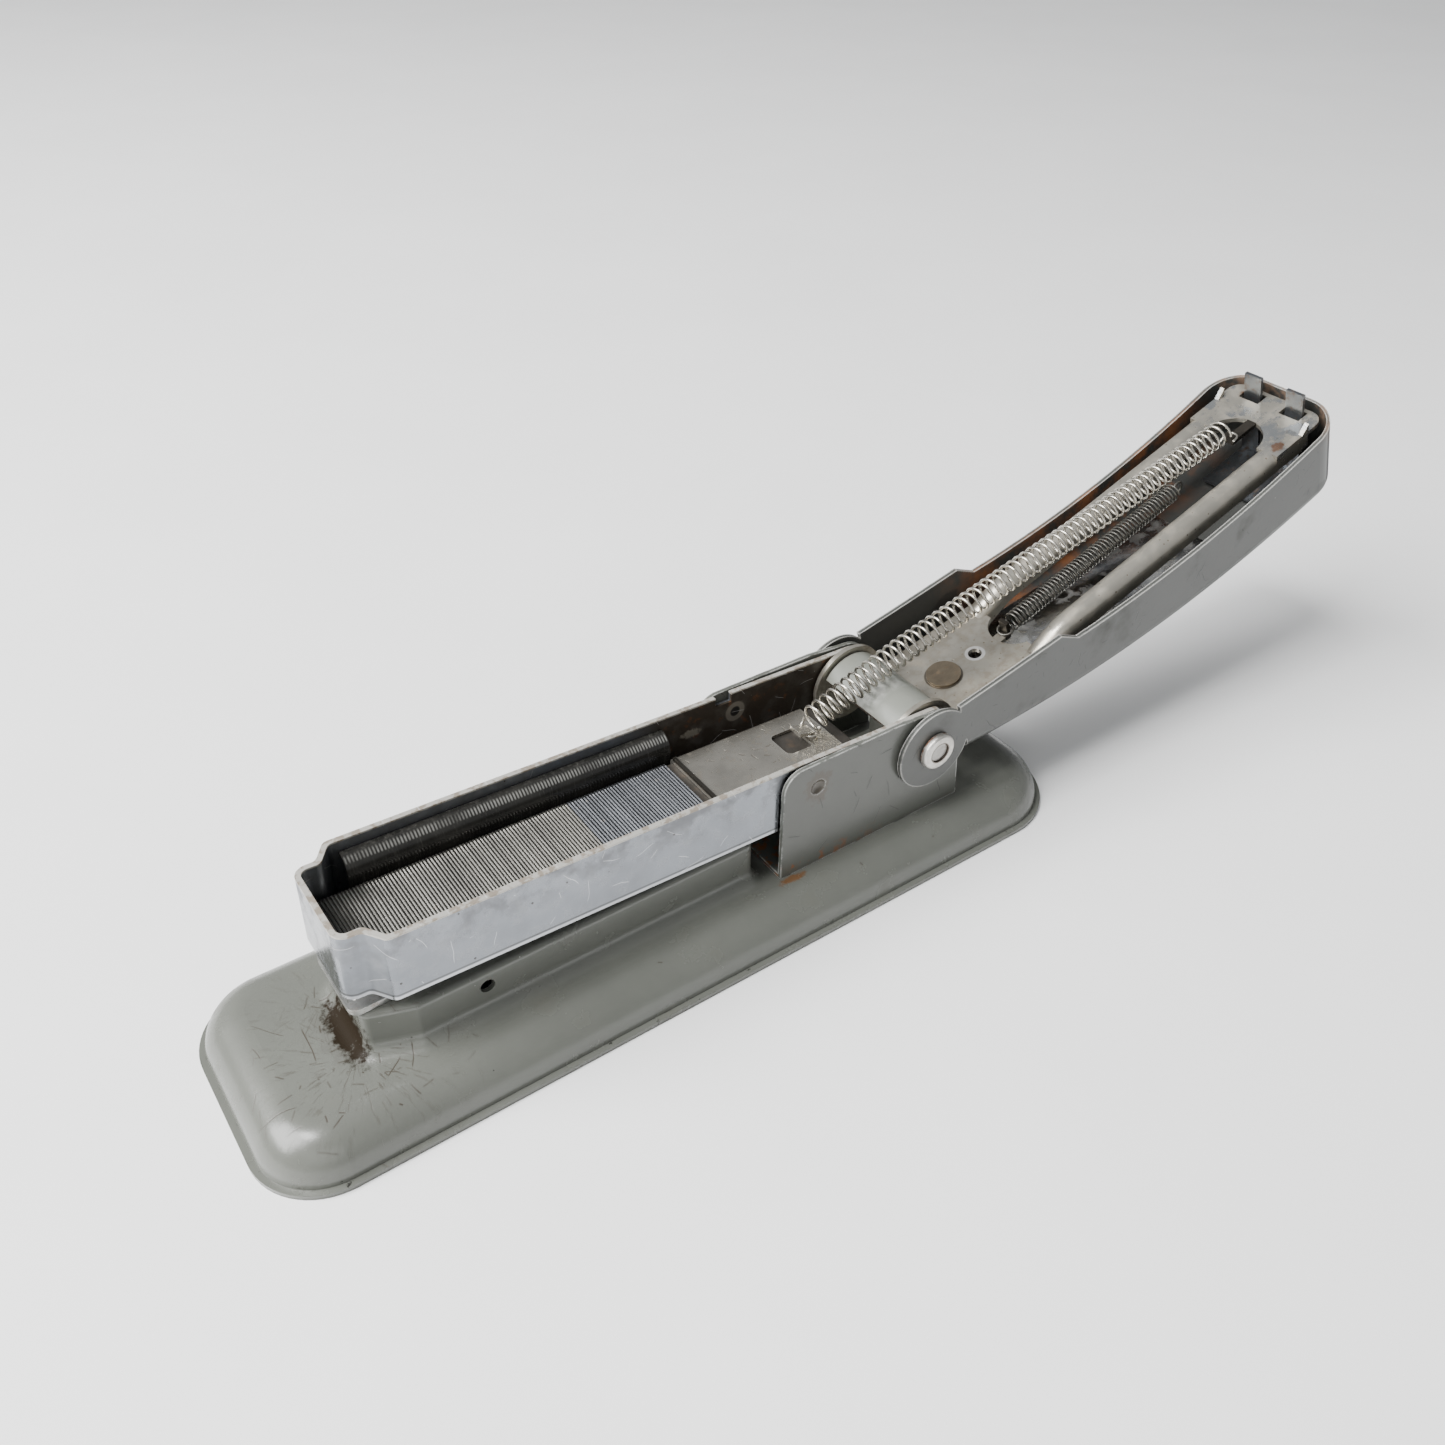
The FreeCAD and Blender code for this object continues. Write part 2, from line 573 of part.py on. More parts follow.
def side_guide(side):
    """Black spring-steel liner whose rounded top steers the staples in."""
    start = NOSE_FRONT + NOSE_NECK + NOSE_SHOULDER + 1.6
    radius = mag_inner - FIT_GAP - GUIDE_WEB
    centre_z = GUIDE_TOP - radius
    web = block(start, start + GUIDE_LENGTH, GUIDE_WEB, GUIDE_WEB + GUIDE_SHEET, floor_top, centre_z)
    axis = V(start, GUIDE_WEB + radius, centre_z)
    curl = Part.makeCylinder(radius, GUIDE_LENGTH, axis, V(1, 0, 0))
    curl = curl.cut(Part.makeCylinder(radius - GUIDE_SHEET, GUIDE_LENGTH, axis, V(1, 0, 0)))
    quarter = block(start, start + GUIDE_LENGTH, GUIDE_WEB, GUIDE_WEB + radius, centre_z, GUIDE_TOP + 1)
    guide = web.fuse(curl.common(quarter)).removeSplitter()
    return guide if side > 0 else guide.mirror(V(0, 0, 0), V(0, 1, 0))


def staple_strip(start, length):
    """Glued strip: crowns on top and the legs hanging on both sides of the rail."""
    half = STAPLE_CROWN / 2
    outer = prism_yz([(-half, CROWN_TOP - STAPLE_LEG), (half, CROWN_TOP - STAPLE_LEG), (half, CROWN_TOP),
                      (-half, CROWN_TOP)], start, start + length, [0, 0, 0.4, 0.4])
    inner = half - STAPLE_WIRE
    return outer.cut(block(start - 1, start + length + 1, -inner, inner, CROWN_TOP - STAPLE_LEG - 1,
                           CROWN_TOP - STAPLE_WIRE))


def pusher():
    """Folded sheet that rides on the rail, with a window and the hook for the long spring."""
    half = STAPLE_CROWN / 2
    bottom = CROWN_TOP - PUSHER_SKIRT
    box = prism_yz([(-half, bottom), (half, bottom), (half, CROWN_TOP), (-half, CROWN_TOP)],
                   pusher_front, pusher_rear, [0, 0, 0.5, 0.5])
    inner = rail_half + FIT_GAP
    under = rail_top + FIT_GAP
    sheet = box.cut(block(pusher_front - 1, pusher_rear + 1, -inner, inner, bottom - 1, under))
    window_end = hook_x - WINDOW_BEFORE_HOOK
    window_start, wide = window_end - WINDOW_LENGTH, WINDOW_HALF_WIDTH
    window = prism_xy([(window_start, -wide), (window_end, -wide), (window_end, wide), (window_start, wide)],
                      rail_top, CROWN_TOP + 1, [1.0, 0, 0, 1.0])
    sheet = sheet.cut(window)
    lip = block(pusher_front, pusher_front + PUSHER_SHEET, -half + 0.6, half - 0.6, CROWN_TOP,
                CROWN_TOP + 0.5)
    low = CROWN_TOP - 0.2
    top = CROWN_TOP + HOOK_RISE
    hook = prism_xz([(hook_x, low), (hook_x + HOOK_SHEET, low), (hook_x + HOOK_SHEET, top - 0.8),
                     (hook_x - HOOK_LEAN, top), (hook_x - HOOK_LEAN, top - HOOK_SHEET),
                     (hook_x, top - 1.2)], HOOK_HALF_WIDTH)
    return sheet.fuse(lip).fuse(hook).removeSplitter()


# ---- cover group, drawn along +x with the pivot at the origin -----------------------------------
def crown_points(inset):
    """Start, middle and end of the cover's arched back."""
    return [V(6.0, 0, COVER_DEPTH_HINGE + 2.2 + inset), V(CROWN_MIDDLE, 0, COVER_DEPTH_MIDDLE + inset),
            V(COVER_LENGTH - inset, 0, COVER_DEPTH_TIP + inset)]


def crown_height(x, inset):
    """Height of the arched back at one place along the cover."""
    circle = Part.Circle(*crown_points(inset))
    return circle.Center.z - math.sqrt(circle.Radius ** 2 - (x - circle.Center.x) ** 2)


# height of the blade's foot on the inside of the arched back
foot_seat = max(crown_height(blade_foot_rivet - BLADE_FOOT_LAP, COVER_WALL),
                crown_height(BLADE_ROOT[0] + BLADE_SHEET / 2, COVER_WALL)) + 0.02


def cover_profile(inset, half_width):
    """Side view of the cover filled in, drawn in by an inset except on its open side."""
    crown = crown_points(inset)
    tip_top = V(COVER_LENGTH - 0.7 - inset, 0, RIM_TIP)
    step_top = V(RIM_STEP, 0, RIM_HINGE - 0.4)
    low_start = V(RIM_STEP + COVER_STEP[0], 0, RIM_HINGE - 0.4 - COVER_STEP[1])
    ear_top = V(COVER_EAR_TOP[0], 0, COVER_EAR_TOP[1])
    lift = 12.0 if inset else 0.0
    raised = V(0, 0, lift)
    edges = [Part.Arc(*crown).toShape(), Part.LineSegment(crown[2], tip_top + raised).toShape()]
    if inset:
        edges.append(Part.LineSegment(tip_top + raised, ear_top + raised).toShape())
        edges.append(Part.LineSegment(ear_top + raised, crown[0]).toShape())
    else:
        edges.append(Part.Arc(tip_top, V(RIM_LOW_PLACE, 0, RIM_LOW), low_start).toShape())
        edges.append(Part.LineSegment(low_start, step_top).toShape())
        edges.append(Part.Arc(step_top, V(17, 0, RIM_HINGE + 0.9), ear_top).toShape())
        edges.append(Part.LineSegment(ear_top, crown[0]).toShape())
    solid = Part.Face(Part.Wire(edges)).extrude(V(0, 2 * half_width, 0))
    solid.translate(V(0, -half_width, 0))
    corner = COVER_CORNER - inset
    tips = [e for e in solid.Edges if abs(e.BoundBox.YLength) < 0.01
            and e.BoundBox.XMin > COVER_LENGTH - 3 and e.BoundBox.ZLength > 8]
    solid = solid.makeFillet(corner, tips)
    round_off = COVER_EDGE_ROUND - inset
    crown_edges = [e for e in solid.Edges if e.BoundBox.ZMax < COVER_DEPTH_HINGE + 3.5 + inset
                   and not (e.BoundBox.YLength > 2 * half_width - 0.1)]
    return solid.makeFillet(round_off, crown_edges)


def cover_shell():
    """Arched pressed cover with round ears at the pivot."""
    ear = rod_y(0, 0, COVER_EAR, -COVER_HALF_WIDTH, COVER_HALF_WIDTH)
    body = cover_profile(0, COVER_HALF_WIDTH).fuse(ear)
    shell = body.cut(cover_profile(COVER_WALL, cover_inner))
    shell = shell.cut(block(-COVER_EAR - 1, CROWN_START, -cover_inner, cover_inner, -14, 14))
    shell = shell.cut(rod_y(0, 0, shaft_hole, -COVER_HALF_WIDTH - 1, COVER_HALF_WIDTH + 1))
    return shell.cut(rod_z(blade_foot_rivet, 0, RIVET_RADIUS, -20, -10))


def driver_blade():
    """Hardened forked blade on a bent foot; its prongs pass the arm's head on both sides of a tongue."""
    (tip_x, tip_z), (root_x, root_z) = BLADE_TIP, BLADE_ROOT
    foot = foot_seat
    t = BLADE_SHEET
    lap = blade_foot_rivet - BLADE_FOOT_LAP
    points = [(tip_x - t / 2, tip_z), (tip_x + t / 2, tip_z), (root_x + t / 2, root_z),
              (root_x + t / 2, foot), (lap, foot), (lap, foot + t),
              (root_x - t / 2, foot + t), (root_x - t / 2, root_z)]
    blade = prism_xz(points, BLADE_WIDTH / 2)
    notch = block(root_x - 1, tip_x + 1, -BLADE_NOTCH_HALF_WIDTH, BLADE_NOTCH_HALF_WIDTH, root_z, tip_z + 1)
    return blade.cut(notch).cut(rod_z(blade_foot_rivet, 0, RIVET_RADIUS, foot - 1, foot + 2))


def blade_rivet():
    ends = (blade_foot_rivet - BLADE_RIVET_HEAD, blade_foot_rivet + BLADE_RIVET_HEAD)
    low = min(crown_height(x, 0) for x in ends + (blade_foot_rivet,)) - 0.02
    return rivet_z(blade_foot_rivet, 0, low, foot_seat + BLADE_SHEET, (BLADE_RIVET_HEAD, 0.5),
                   (BLADE_RIVET_HEAD, 0.7))


# ---- arm group, drawn along +x with the pivot at the origin -------------------------------------
def plate_height(x):
    share = (x - ARM_PLATE_START) / (ARM_PLATE_END - ARM_PLATE_START)
    return ARM_PLATE_NEAR + share * (ARM_PLATE_FAR - ARM_PLATE_NEAR)


def square_to_plate(shape):
    """Lean an upright shape at the arm's rivet so that it stands square to the sloping plate."""
    slope = math.degrees(math.atan2(ARM_PLATE_NEAR - ARM_PLATE_FAR, ARM_PLATE_END - ARM_PLATE_START))
    leaning = shape.copy()
    leaning.rotate(V(ARM_RIVET_PLACE, 0, plate_height(ARM_RIVET_PLACE)), V(0, 1, 0), slope)
    return leaning


def arm_rail(side):
    """Half-round stiffening rib: rises from the plate, then runs straight to the head."""
    low = plate_height(rail_start) - rail_radius + RAIL_SINK
    high = ARM_CREST - rail_radius
    knee = rail_start + rail_blend
    y = side * rail_mid
    start, bend, end = V(rail_start, y, low), V(knee, y, high), V(SLOT_END + 1.5, y, high)
    a, m, b = corner_arc(start, bend, end, RAIL_BEND)
    spine = Part.Wire([Part.LineSegment(start, a).toShape(), Part.Arc(a, m, b).toShape(),
                       Part.LineSegment(b, end).toShape()])
    normal = (bend - start).normalize()
    up = V(-normal.z, 0, normal.x)
    across = V(0, 1, 0)

    def section(radius, leg_in, leg_out):
        left, right = start - across * radius, start + across * radius
        foot_left = left - up * (leg_out if side < 0 else leg_in)
        foot_right = right - up * (leg_in if side < 0 else leg_out)
        return Part.Wire([Part.LineSegment(foot_left, left).toShape(),
                          Part.Arc(left, start + up * radius, right).toShape(),
                          Part.LineSegment(right, foot_right).toShape(),
                          Part.LineSegment(foot_right, foot_left).toShape()])

    outer = spine.makePipeShell([section(rail_radius, RAIL_LEG_IN, RAIL_LEG_OUT)], True, False)
    bore = section(rail_radius - ARM_SHEET, 2 * RAIL_LEG_IN, 2 * RAIL_LEG_OUT)
    inner = spine.makePipeShell([bore], True, False)
    return outer.cut(inner)


def arm_side(half_width):
    """Side view of the arm's ears and the low flanges under its plate."""
    ear = rod_y(0, 0, ARM_EAR_RADIUS, -half_width, half_width)
    near, far = plate_height(ARM_PLATE_START), plate_height(ARM_PLATE_END)
    flange = prism_xz([(0, near), (ARM_PLATE_START, near), (ARM_PLATE_END, far), (ARM_PLATE_END, far - 2.0),
                       (ARM_PLATE_START, near - 3.0), (0, -ARM_EAR_RADIUS)], half_width)
    return ear.fuse(flange)


def driver_arm():
    """One pressing: hinge ears, flat plate, two rails with a long slot between, and the head."""
    ears = side_plate(arm_side, arm_ear_inner, ARM_EAR_OUTER)
    near, far = plate_height(ARM_PLATE_START), plate_height(ARM_PLATE_END)
    plate = prism_xz([(ARM_PLATE_START, near), (ARM_PLATE_END, far), (ARM_PLATE_END, far - ARM_SHEET),
                      (ARM_PLATE_START, near - ARM_SHEET)], ARM_EAR_OUTER)
    slot_round = rod_z(ARM_PLATE_END + 1.4, 0, SLOT_HALF_WIDTH - 0.6, -9, 0)
    plate = plate.cut(slot_round)
    arm = ears.fuse(plate).fuse(arm_rail(-1)).fuse(arm_rail(1))
    head_start, head_low = SLOT_END - HEAD_BEFORE_SLOT_END, head_top - ARM_SHEET
    slot_centre = SLOT_END - SLOT_HALF_WIDTH
    head = prism_xy([(head_start, -RAIL_OUTER), (HEAD_END, -RAIL_OUTER), (HEAD_END, RAIL_OUTER),
                     (head_start, RAIL_OUTER)], head_low, head_top, [0, HEAD_CORNER, HEAD_CORNER, 0])
    head = head.cut(rod_z(slot_centre, 0, SLOT_HALF_WIDTH, head_low - 1, head_top + 1))
    head = head.cut(block(head_start - 1, slot_centre, -SLOT_HALF_WIDTH, SLOT_HALF_WIDTH, head_low - 1,
                          head_top + 1))
    cheek_end = SLOT_END + CHEEK_REACH
    cheek = prism_xz([(head_start, head_top - CHEEK_DEPTH), (cheek_end, head_top - CHEEK_DEPTH),
                      (cheek_end, head_top + CORNER_TAB_RISE), (cheek_end - CORNER_TAB_RISE, head_top),
                      (head_start, head_top)], ARM_SHEET / 2, None, RAIL_OUTER - ARM_SHEET / 2)
    arm = arm.fuse(head).fuse(both_sides(cheek))
    room = BLADE_SHEET / 2 + slot_clear
    slit = block(BLADE_TIP[0] - room - 0.75, BLADE_TIP[0] + room, TONGUE_HALF_WIDTH,
                 BLADE_WIDTH / 2 + FIT_GAP * 2, head_low - 3, head_top + 2)
    slits = slit.fuse(slit.mirror(V(0, 0, 0), V(0, 1, 0)))
    hook_top, hook_back = head_top + HOOK_TAB_RISE, far_hook_x + ARM_SHEET
    hook = prism_xz([(far_hook_x, head_low), (SLOT_END + 0.6, head_low), (SLOT_END + 0.6, head_top),
                     (hook_back, head_top), (hook_back, hook_top), (far_hook_x, hook_top)],
                    HOOK_TAB_HALF_WIDTH)
    plate_end = plate_height(ARM_PLATE_END)
    tab_start, tab_end = NEAR_HOOK_PLACE - 3.4, NEAR_HOOK_PLACE + 0.7
    tab_top = NEAR_HOOK_HEIGHT + HOOK_TAB_RISE
    tab = prism_xz([(tab_start, plate_end - ARM_SHEET), (tab_end, plate_end - ARM_SHEET),
                    (tab_end, tab_top), (NEAR_HOOK_PLACE, tab_top), (NEAR_HOOK_PLACE, plate_end),
                    (tab_start, plate_end)], HOOK_TAB_HALF_WIDTH)
    arm = arm.cut(slits).fuse(hook).fuse(tab).removeSplitter()
    for x, radius in ((ARM_RIVET_PLACE, RIVET_RADIUS), (PILOT_PLACE, PILOT_RADIUS)):
        arm = arm.cut(square_to_plate(rod_z(x, 0, radius, -9, 0)))
    return arm.cut(rod_y(0, 0, shaft_hole, -ARM_EAR_OUTER - 1, ARM_EAR_OUTER + 1))


def arm_leaf():
    """Bowed leaf under the arm that pushes it away from the cover."""
    sheet, half = LEAF_SHEET, LEAF_HALF_WIDTH
    seat = plate_height(ARM_RIVET_PLACE) - ARM_SHEET
    tip_x = HEAD_END - LEAF_BEFORE_HEAD_END
    tip_z = crown_height(tip_x, COVER_WALL) + sheet + 0.5
    flat = (ARM_RIVET_PLACE - LEAF_LAP, ARM_RIVET_PLACE + LEAF_LAP)
    heights = [(x, plate_height(x) - ARM_SHEET - 0.02) for x in flat]
    heights += [(rail_start, rail_low - RAIL_LEG_OUT - LEAF_BELOW_RAIL), (tip_x, tip_z)]
    points = heights + [(x, z - sheet) for x, z in reversed(heights)]
    leaf = prism_xz(points, half)
    return leaf.cut(square_to_plate(rod_z(ARM_RIVET_PLACE, 0, RIVET_RADIUS, seat - 2, seat + 1)))


def arm_rivet():
    top = plate_height(ARM_RIVET_PLACE)
    stack = ARM_SHEET + 0.55
    return square_to_plate(rivet_z(ARM_RIVET_PLACE, 0, top - stack, top, (2.2, 0.5), (2.9, 0.5)))


# ---- springs on the bench -----------------------------------------------------------------------
def bench_point(x, z, degrees, y=0.0):
    """A point of a group drawing where it lands on the bench."""
    angle = math.radians(degrees)
    return V(PIVOT_X + x * math.cos(angle) + z * math.sin(angle), y,
             PIVOT_Z - x * math.sin(angle) + z * math.cos(angle))


def follower_spring():
    """Long spring from the pusher's hook, over the guard, to the hook in the arm's slot."""
    start = bench_point(hook_x + 0.9, CROWN_TOP + 2.6, MAG_TILT)
    over = V(PIVOT_X + 1.5, 0.4, PIVOT_Z + GUARD_RADIUS + FOLLOWER_SPRING_RADIUS + 1.1)
    end = bench_point(far_hook_x - 0.5, head_top + 1.6, -OPEN_ANGLE, 1.2)
    return sleeve([start, over, end], [30.0], FOLLOWER_SPRING_RADIUS, FOLLOWER_WIRE)


def return_spring():
    """Dark close-wound spring in the slot, from the arm's tab to its far end."""
    start = V(NEAR_HOOK_PLACE + 1.4, 0, NEAR_HOOK_HEIGHT - 0.6)
    ahead = V(1, 0, 0)
    rod = Part.makeCylinder(RETURN_SPRING_RADIUS, RETURN_SPRING_RUN, start, ahead)
    bore = Part.makeCylinder(RETURN_SPRING_RADIUS - RETURN_WIRE, RETURN_SPRING_RUN, start, ahead)
    return rod.cut(bore)


# ---- build and export ---------------------------------------------------------------------------
parts = {
    "base_pan": base_pan(),
    "anvil_plate": anvil_plate(),
    "anvil_pin": anvil_pin(),
    "anvil_spring": anvil_spring(),
    "lift_spring": lift_spring(),
    "lift_spring_rivet": lift_rivet(),
    "hinge_bracket": hinge_bracket(),
    "pivot_guard": pivot_guard(),
    "bracket_rivet_front": bracket_rivet(0),
    "bracket_rivet_rear": bracket_rivet(1),
    "pivot_rivet": pivot_rivet(),
    "magazine_channel": in_magazine(magazine_channel()),
    "core_rail": in_magazine(core_rail()),
    "side_guide_left": in_magazine(side_guide(-1)),
    "side_guide_right": in_magazine(side_guide(1)),
    "staple_strip_front": in_magazine(staple_strip(strip_start, STRIP_FRONT_LENGTH)),
    "staple_strip_rear": in_magazine(staple_strip(strip_join, STRIP_REAR_LENGTH)),
    "pusher": in_magazine(pusher()),
    "follower_spring": follower_spring(),
    "cover_shell": in_cover(cover_shell()),
    "driver_blade": in_cover(driver_blade()),
    "blade_rivet": in_cover(blade_rivet()),
    "driver_arm": in_cover(driver_arm()),
    "arm_leaf": in_cover(arm_leaf()),
    "arm_rivet": in_cover(arm_rivet()),
    "return_spring": in_cover(return_spring()),
}

middle_x = parts["cover_shell"].optimalBoundingBox().XMax / 2
for name, shape in parts.items():
    shape.translate(V(-middle_x, 0, 0))
    shape.exportStep("parts/" + name + ".step")
    box = shape.optimalBoundingBox()
    span = f"x {box.XMin:7.2f} {box.XMax:7.2f} y {box.YMin:6.2f} {box.YMax:6.2f}"
    print(f"{name:22s} solids {len(shape.Solids)} valid {shape.isValid()} volume {shape.Volume:9.2f} {span}")
print("origin at bench x", round(middle_x, 4))
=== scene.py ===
"""Finishes, wound springs, staples and studio for the open desk stapler.

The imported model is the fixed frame.  Its pressings keep their shape and get their finish here;
the springs and the staple strips, which are plain bodies there, are wound and laid turn by turn
and staple by staple.
"""

import json
import math

import bpy
from mathutils import Matrix, Vector


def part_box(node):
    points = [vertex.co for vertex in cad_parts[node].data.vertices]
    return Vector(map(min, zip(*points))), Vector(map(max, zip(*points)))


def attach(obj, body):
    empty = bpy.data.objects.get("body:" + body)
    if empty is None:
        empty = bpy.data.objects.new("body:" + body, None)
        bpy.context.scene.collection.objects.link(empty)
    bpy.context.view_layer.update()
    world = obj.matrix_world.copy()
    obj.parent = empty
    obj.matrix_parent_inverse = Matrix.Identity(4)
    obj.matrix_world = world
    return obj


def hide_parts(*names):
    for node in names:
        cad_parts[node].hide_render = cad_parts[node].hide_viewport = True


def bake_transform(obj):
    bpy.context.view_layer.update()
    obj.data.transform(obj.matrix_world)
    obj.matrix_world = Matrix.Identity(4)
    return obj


bl_info = {
    "name": "Open desk stapler",
    "version": (1, 0, 0),
    "blender": (4, 5, 0),
    "location": "3D View > Sidebar > Stapler",
    "description": "Finishes, springs, staples and studio of a pressed-steel desk stapler",
    "category": "Object",
}

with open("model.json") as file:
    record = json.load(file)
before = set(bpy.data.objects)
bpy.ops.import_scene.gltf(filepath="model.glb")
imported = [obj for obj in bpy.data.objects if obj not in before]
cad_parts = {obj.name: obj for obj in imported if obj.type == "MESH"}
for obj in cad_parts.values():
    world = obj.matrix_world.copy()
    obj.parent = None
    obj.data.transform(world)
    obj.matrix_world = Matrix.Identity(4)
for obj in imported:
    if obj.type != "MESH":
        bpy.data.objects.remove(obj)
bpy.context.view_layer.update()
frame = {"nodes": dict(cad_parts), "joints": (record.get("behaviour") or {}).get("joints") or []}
NODES = frame["nodes"]
HINGE = next(joint for joint in frame["joints"] if joint["name"] == "arm_swing")
PIVOT = Vector(HINGE["pos_m"])
MM = 0.001
MAGAZINE_TILT = math.radians(2.233)
OPEN_ANGLE = math.radians(20.56)
GUARD_RADIUS = 6.0
STAPLE_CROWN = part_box("staple_strip_front")[1].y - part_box("staple_strip_front")[0].y
STAPLE_LEG = 0.005
ANVIL = (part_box("anvil_pin")[0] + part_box("anvil_pin")[1]) / 2


# ---- settings -----------------------------------------------------------------------------------
def length(name, description, default):
    """A length in metres."""
    return bpy.props.FloatProperty(name=name, description=description, default=default,
                                   min=0.00001, precision=5, subtype="DISTANCE")


def count(name, description, default):
    """A number of turns."""
    return bpy.props.IntProperty(name=name, description=description, default=default, min=2)


def power(name, description, default):
    """The power of a light in watts."""
    return bpy.props.FloatProperty(name=name, description=description, default=default,
                                   min=0, unit="POWER")


def colour(name, description, default):
    """A linear colour."""
    return bpy.props.FloatVectorProperty(name=name, description=description, subtype="COLOR",
                                         size=3, min=0, max=1, default=default)


class StaplerSprings(bpy.types.PropertyGroup):
    """Sizes of the wound springs."""

    follower_turns: count("Long spring turns", "Open turns between the pusher and the arm", 63)
    follower_radius: length("Long spring radius", "Outer radius of the long spring", 0.0023)
    follower_wire: length("Long spring wire", "Wire diameter of the long spring", 0.00048)
    return_turns: count("Return spring turns", "Close turns of the dark spring in the slot", 52)
    return_radius: length("Return spring radius", "Outer radius of the dark spring", 0.00165)
    return_wire: length("Return spring wire", "Wire diameter of the dark spring", 0.0004)
    anvil_turns: count("Anvil spring turns", "Turns of the small spring under the anvil", 6)
    anvil_wire: length("Anvil spring wire", "Wire diameter of the anvil's spring", 0.00045)


class StaplerStaples(bpy.types.PropertyGroup):
    """Sizes of the staples in the strips."""

    pitch: length("Pitch", "Distance from staple to staple", 0.0005)
    wire: length("Wire", "Width of one staple's wire", 0.00042)
    corner: length("Corner", "Radius of the bend between crown and leg", 0.00075)
    jitter: length("Unevenness", "Most that a staple stands out of line", 0.00002)


class StaplerColours(bpy.types.PropertyGroup):
    """Colours of the finishes."""

    enamel: colour("Base enamel", "Stoved enamel on base and bracket", (0.108, 0.112, 0.098))
    # The cover's enamel is the base grey darkened: painted shade for its shaded sides.
    cover: colour("Cover enamel", "Stoved enamel on the cover", (0.056, 0.058, 0.053))
    chrome: colour("Chrome", "Plating of the magazine", (0.225, 0.238, 0.258))
    nickel: colour("Nickel", "Plating of the pusher", (0.50, 0.475, 0.42))
    plating: colour("Dull plating", "Plating of the driver arm", (0.40, 0.38, 0.33))
    wire: colour("Bright wire", "Drawn wire of the long spring", (0.52, 0.495, 0.44))
    # The return spring's wire is darkened: painted shade for the slot that it lies in.
    dark_wire: colour("Dark wire", "Drawn wire of the return spring", (0.17, 0.165, 0.15))
    staple: colour("Staple wire", "Wire of the front strip", (0.36, 0.35, 0.32))
    old_staple: colour("Darker staple wire", "Wire of the rear strip", (0.27, 0.28, 0.30))
    rust: colour("Rust", "Rust and brown dirt", (0.17, 0.065, 0.022))


class StaplerStudio(bpy.types.PropertyGroup):
    """Floor, lights and camera."""

    floor: colour("Floor", "Pale floor", (0.86, 0.86, 0.855))
    key_power: power("Key light", "Power of the large overhead light", 36.0)
    fill_power: power("Fill light", "Power of the soft light beside the camera", 1.5)
    window_power: power("Window light", "Power of the small light overhead", 8.0)
    sky: bpy.props.FloatProperty(
        name="Surround", description="Strength of the pale surround", default=0.42, min=0)
    lens: bpy.props.FloatProperty(
        name="Lens", description="Focal length", default=32.45, min=1, subtype="DISTANCE_CAMERA")


# ---- node graph helpers -------------------------------------------------------------------------
MIX_FACTOR, MIX_FIRST, MIX_SECOND, MIX_RESULT = 0, 6, 7, 2  # colour sockets of the Mix node


class Graph:
    """Adds nodes to one tree and joins them."""

    def __init__(self, tree):
        self.tree = tree

    def feed(self, socket, value):
        if isinstance(value, bpy.types.NodeSocket):
            self.tree.links.new(value, socket)
        elif socket.type == "RGBA" and len(value) == 3:
            socket.default_value = (*value, 1.0)
        else:
            socket.default_value = value

    def add(self, kind, inputs=None, **settings):
        node = self.tree.nodes.new(kind)
        for name, value in settings.items():
            setattr(node, name, value)
        for key, value in (inputs or {}).items():
            self.feed(node.inputs[key], value)
        return node

    def math(self, operation, first, second=0.0, clamp=False):
        inputs = {0: first, 1: second}
        return self.add("ShaderNodeMath", inputs, operation=operation, use_clamp=clamp).outputs[0]

    def vector(self, operation, first, second=(0.0, 0.0, 0.0)):
        node = self.add("ShaderNodeVectorMath", {0: first, 1: second}, operation=operation)
        return node.outputs["Value" if operation in ("LENGTH", "DOT_PRODUCT") else "Vector"]

    def scaled(self, vector, scale):
        node = self.add("ShaderNodeVectorMath", {0: vector, "Scale": scale}, operation="SCALE")
        return node.outputs["Vector"]

    def split(self, vector):
        return self.add("ShaderNodeSeparateXYZ", {0: vector}).outputs

    def join(self, x, y, z):
        return self.add("ShaderNodeCombineXYZ", {0: x, 1: y, 2: z}).outputs[0]

    def span(self, value, low, high, start=0.0, end=1.0):
        """Value from low to high becomes start to end, clamped."""
        inputs = {"Value": value, "From Min": low, "From Max": high, "To Min": start, "To Max": end}
        return self.add("ShaderNodeMapRange", inputs).outputs[0]

    def blend(self, factor, first, second):
        node = self.add("ShaderNodeMix", data_type="RGBA")
        self.feed(node.inputs[MIX_FACTOR], factor)
        self.feed(node.inputs[MIX_FIRST], first)
        self.feed(node.inputs[MIX_SECOND], second)
        return node.outputs[MIX_RESULT]

    def noise(self, vector, scale, detail=2.0, roughness=0.5, distortion=0.0):
        inputs = {"Vector": vector, "Scale": scale, "Detail": detail, "Roughness": roughness,
                  "Distortion": distortion}
        return self.add("ShaderNodeTexNoise", inputs).outputs[0]

    def group(self, tree, inputs):
        node = self.add("ShaderNodeGroup", node_tree=tree)
        for name, value in inputs.items():
            self.feed(node.inputs[name], value)
        return node.outputs[0]

    def give_back(self, result, geometry, material):
        """End a geometry tree: real geometry with its finish."""
        real = self.add("GeometryNodeRealizeInstances", {"Geometry": geometry}).outputs[0]
        inputs = {"Geometry": real, "Material": material}
        self.feed(result, self.add("GeometryNodeSetMaterial", inputs).outputs[0])


def effect_group(name, numbers, vectors=()):
    """A shader group that gives one mask: its number inputs by name, and its vector inputs."""
    sockets = [(label, VECTOR, default) for label, default in vectors]
    sockets += [(label, FLOAT, default) for label, default in numbers]
    return new_group(name, "ShaderNodeTree", sockets, "Mask", FLOAT)


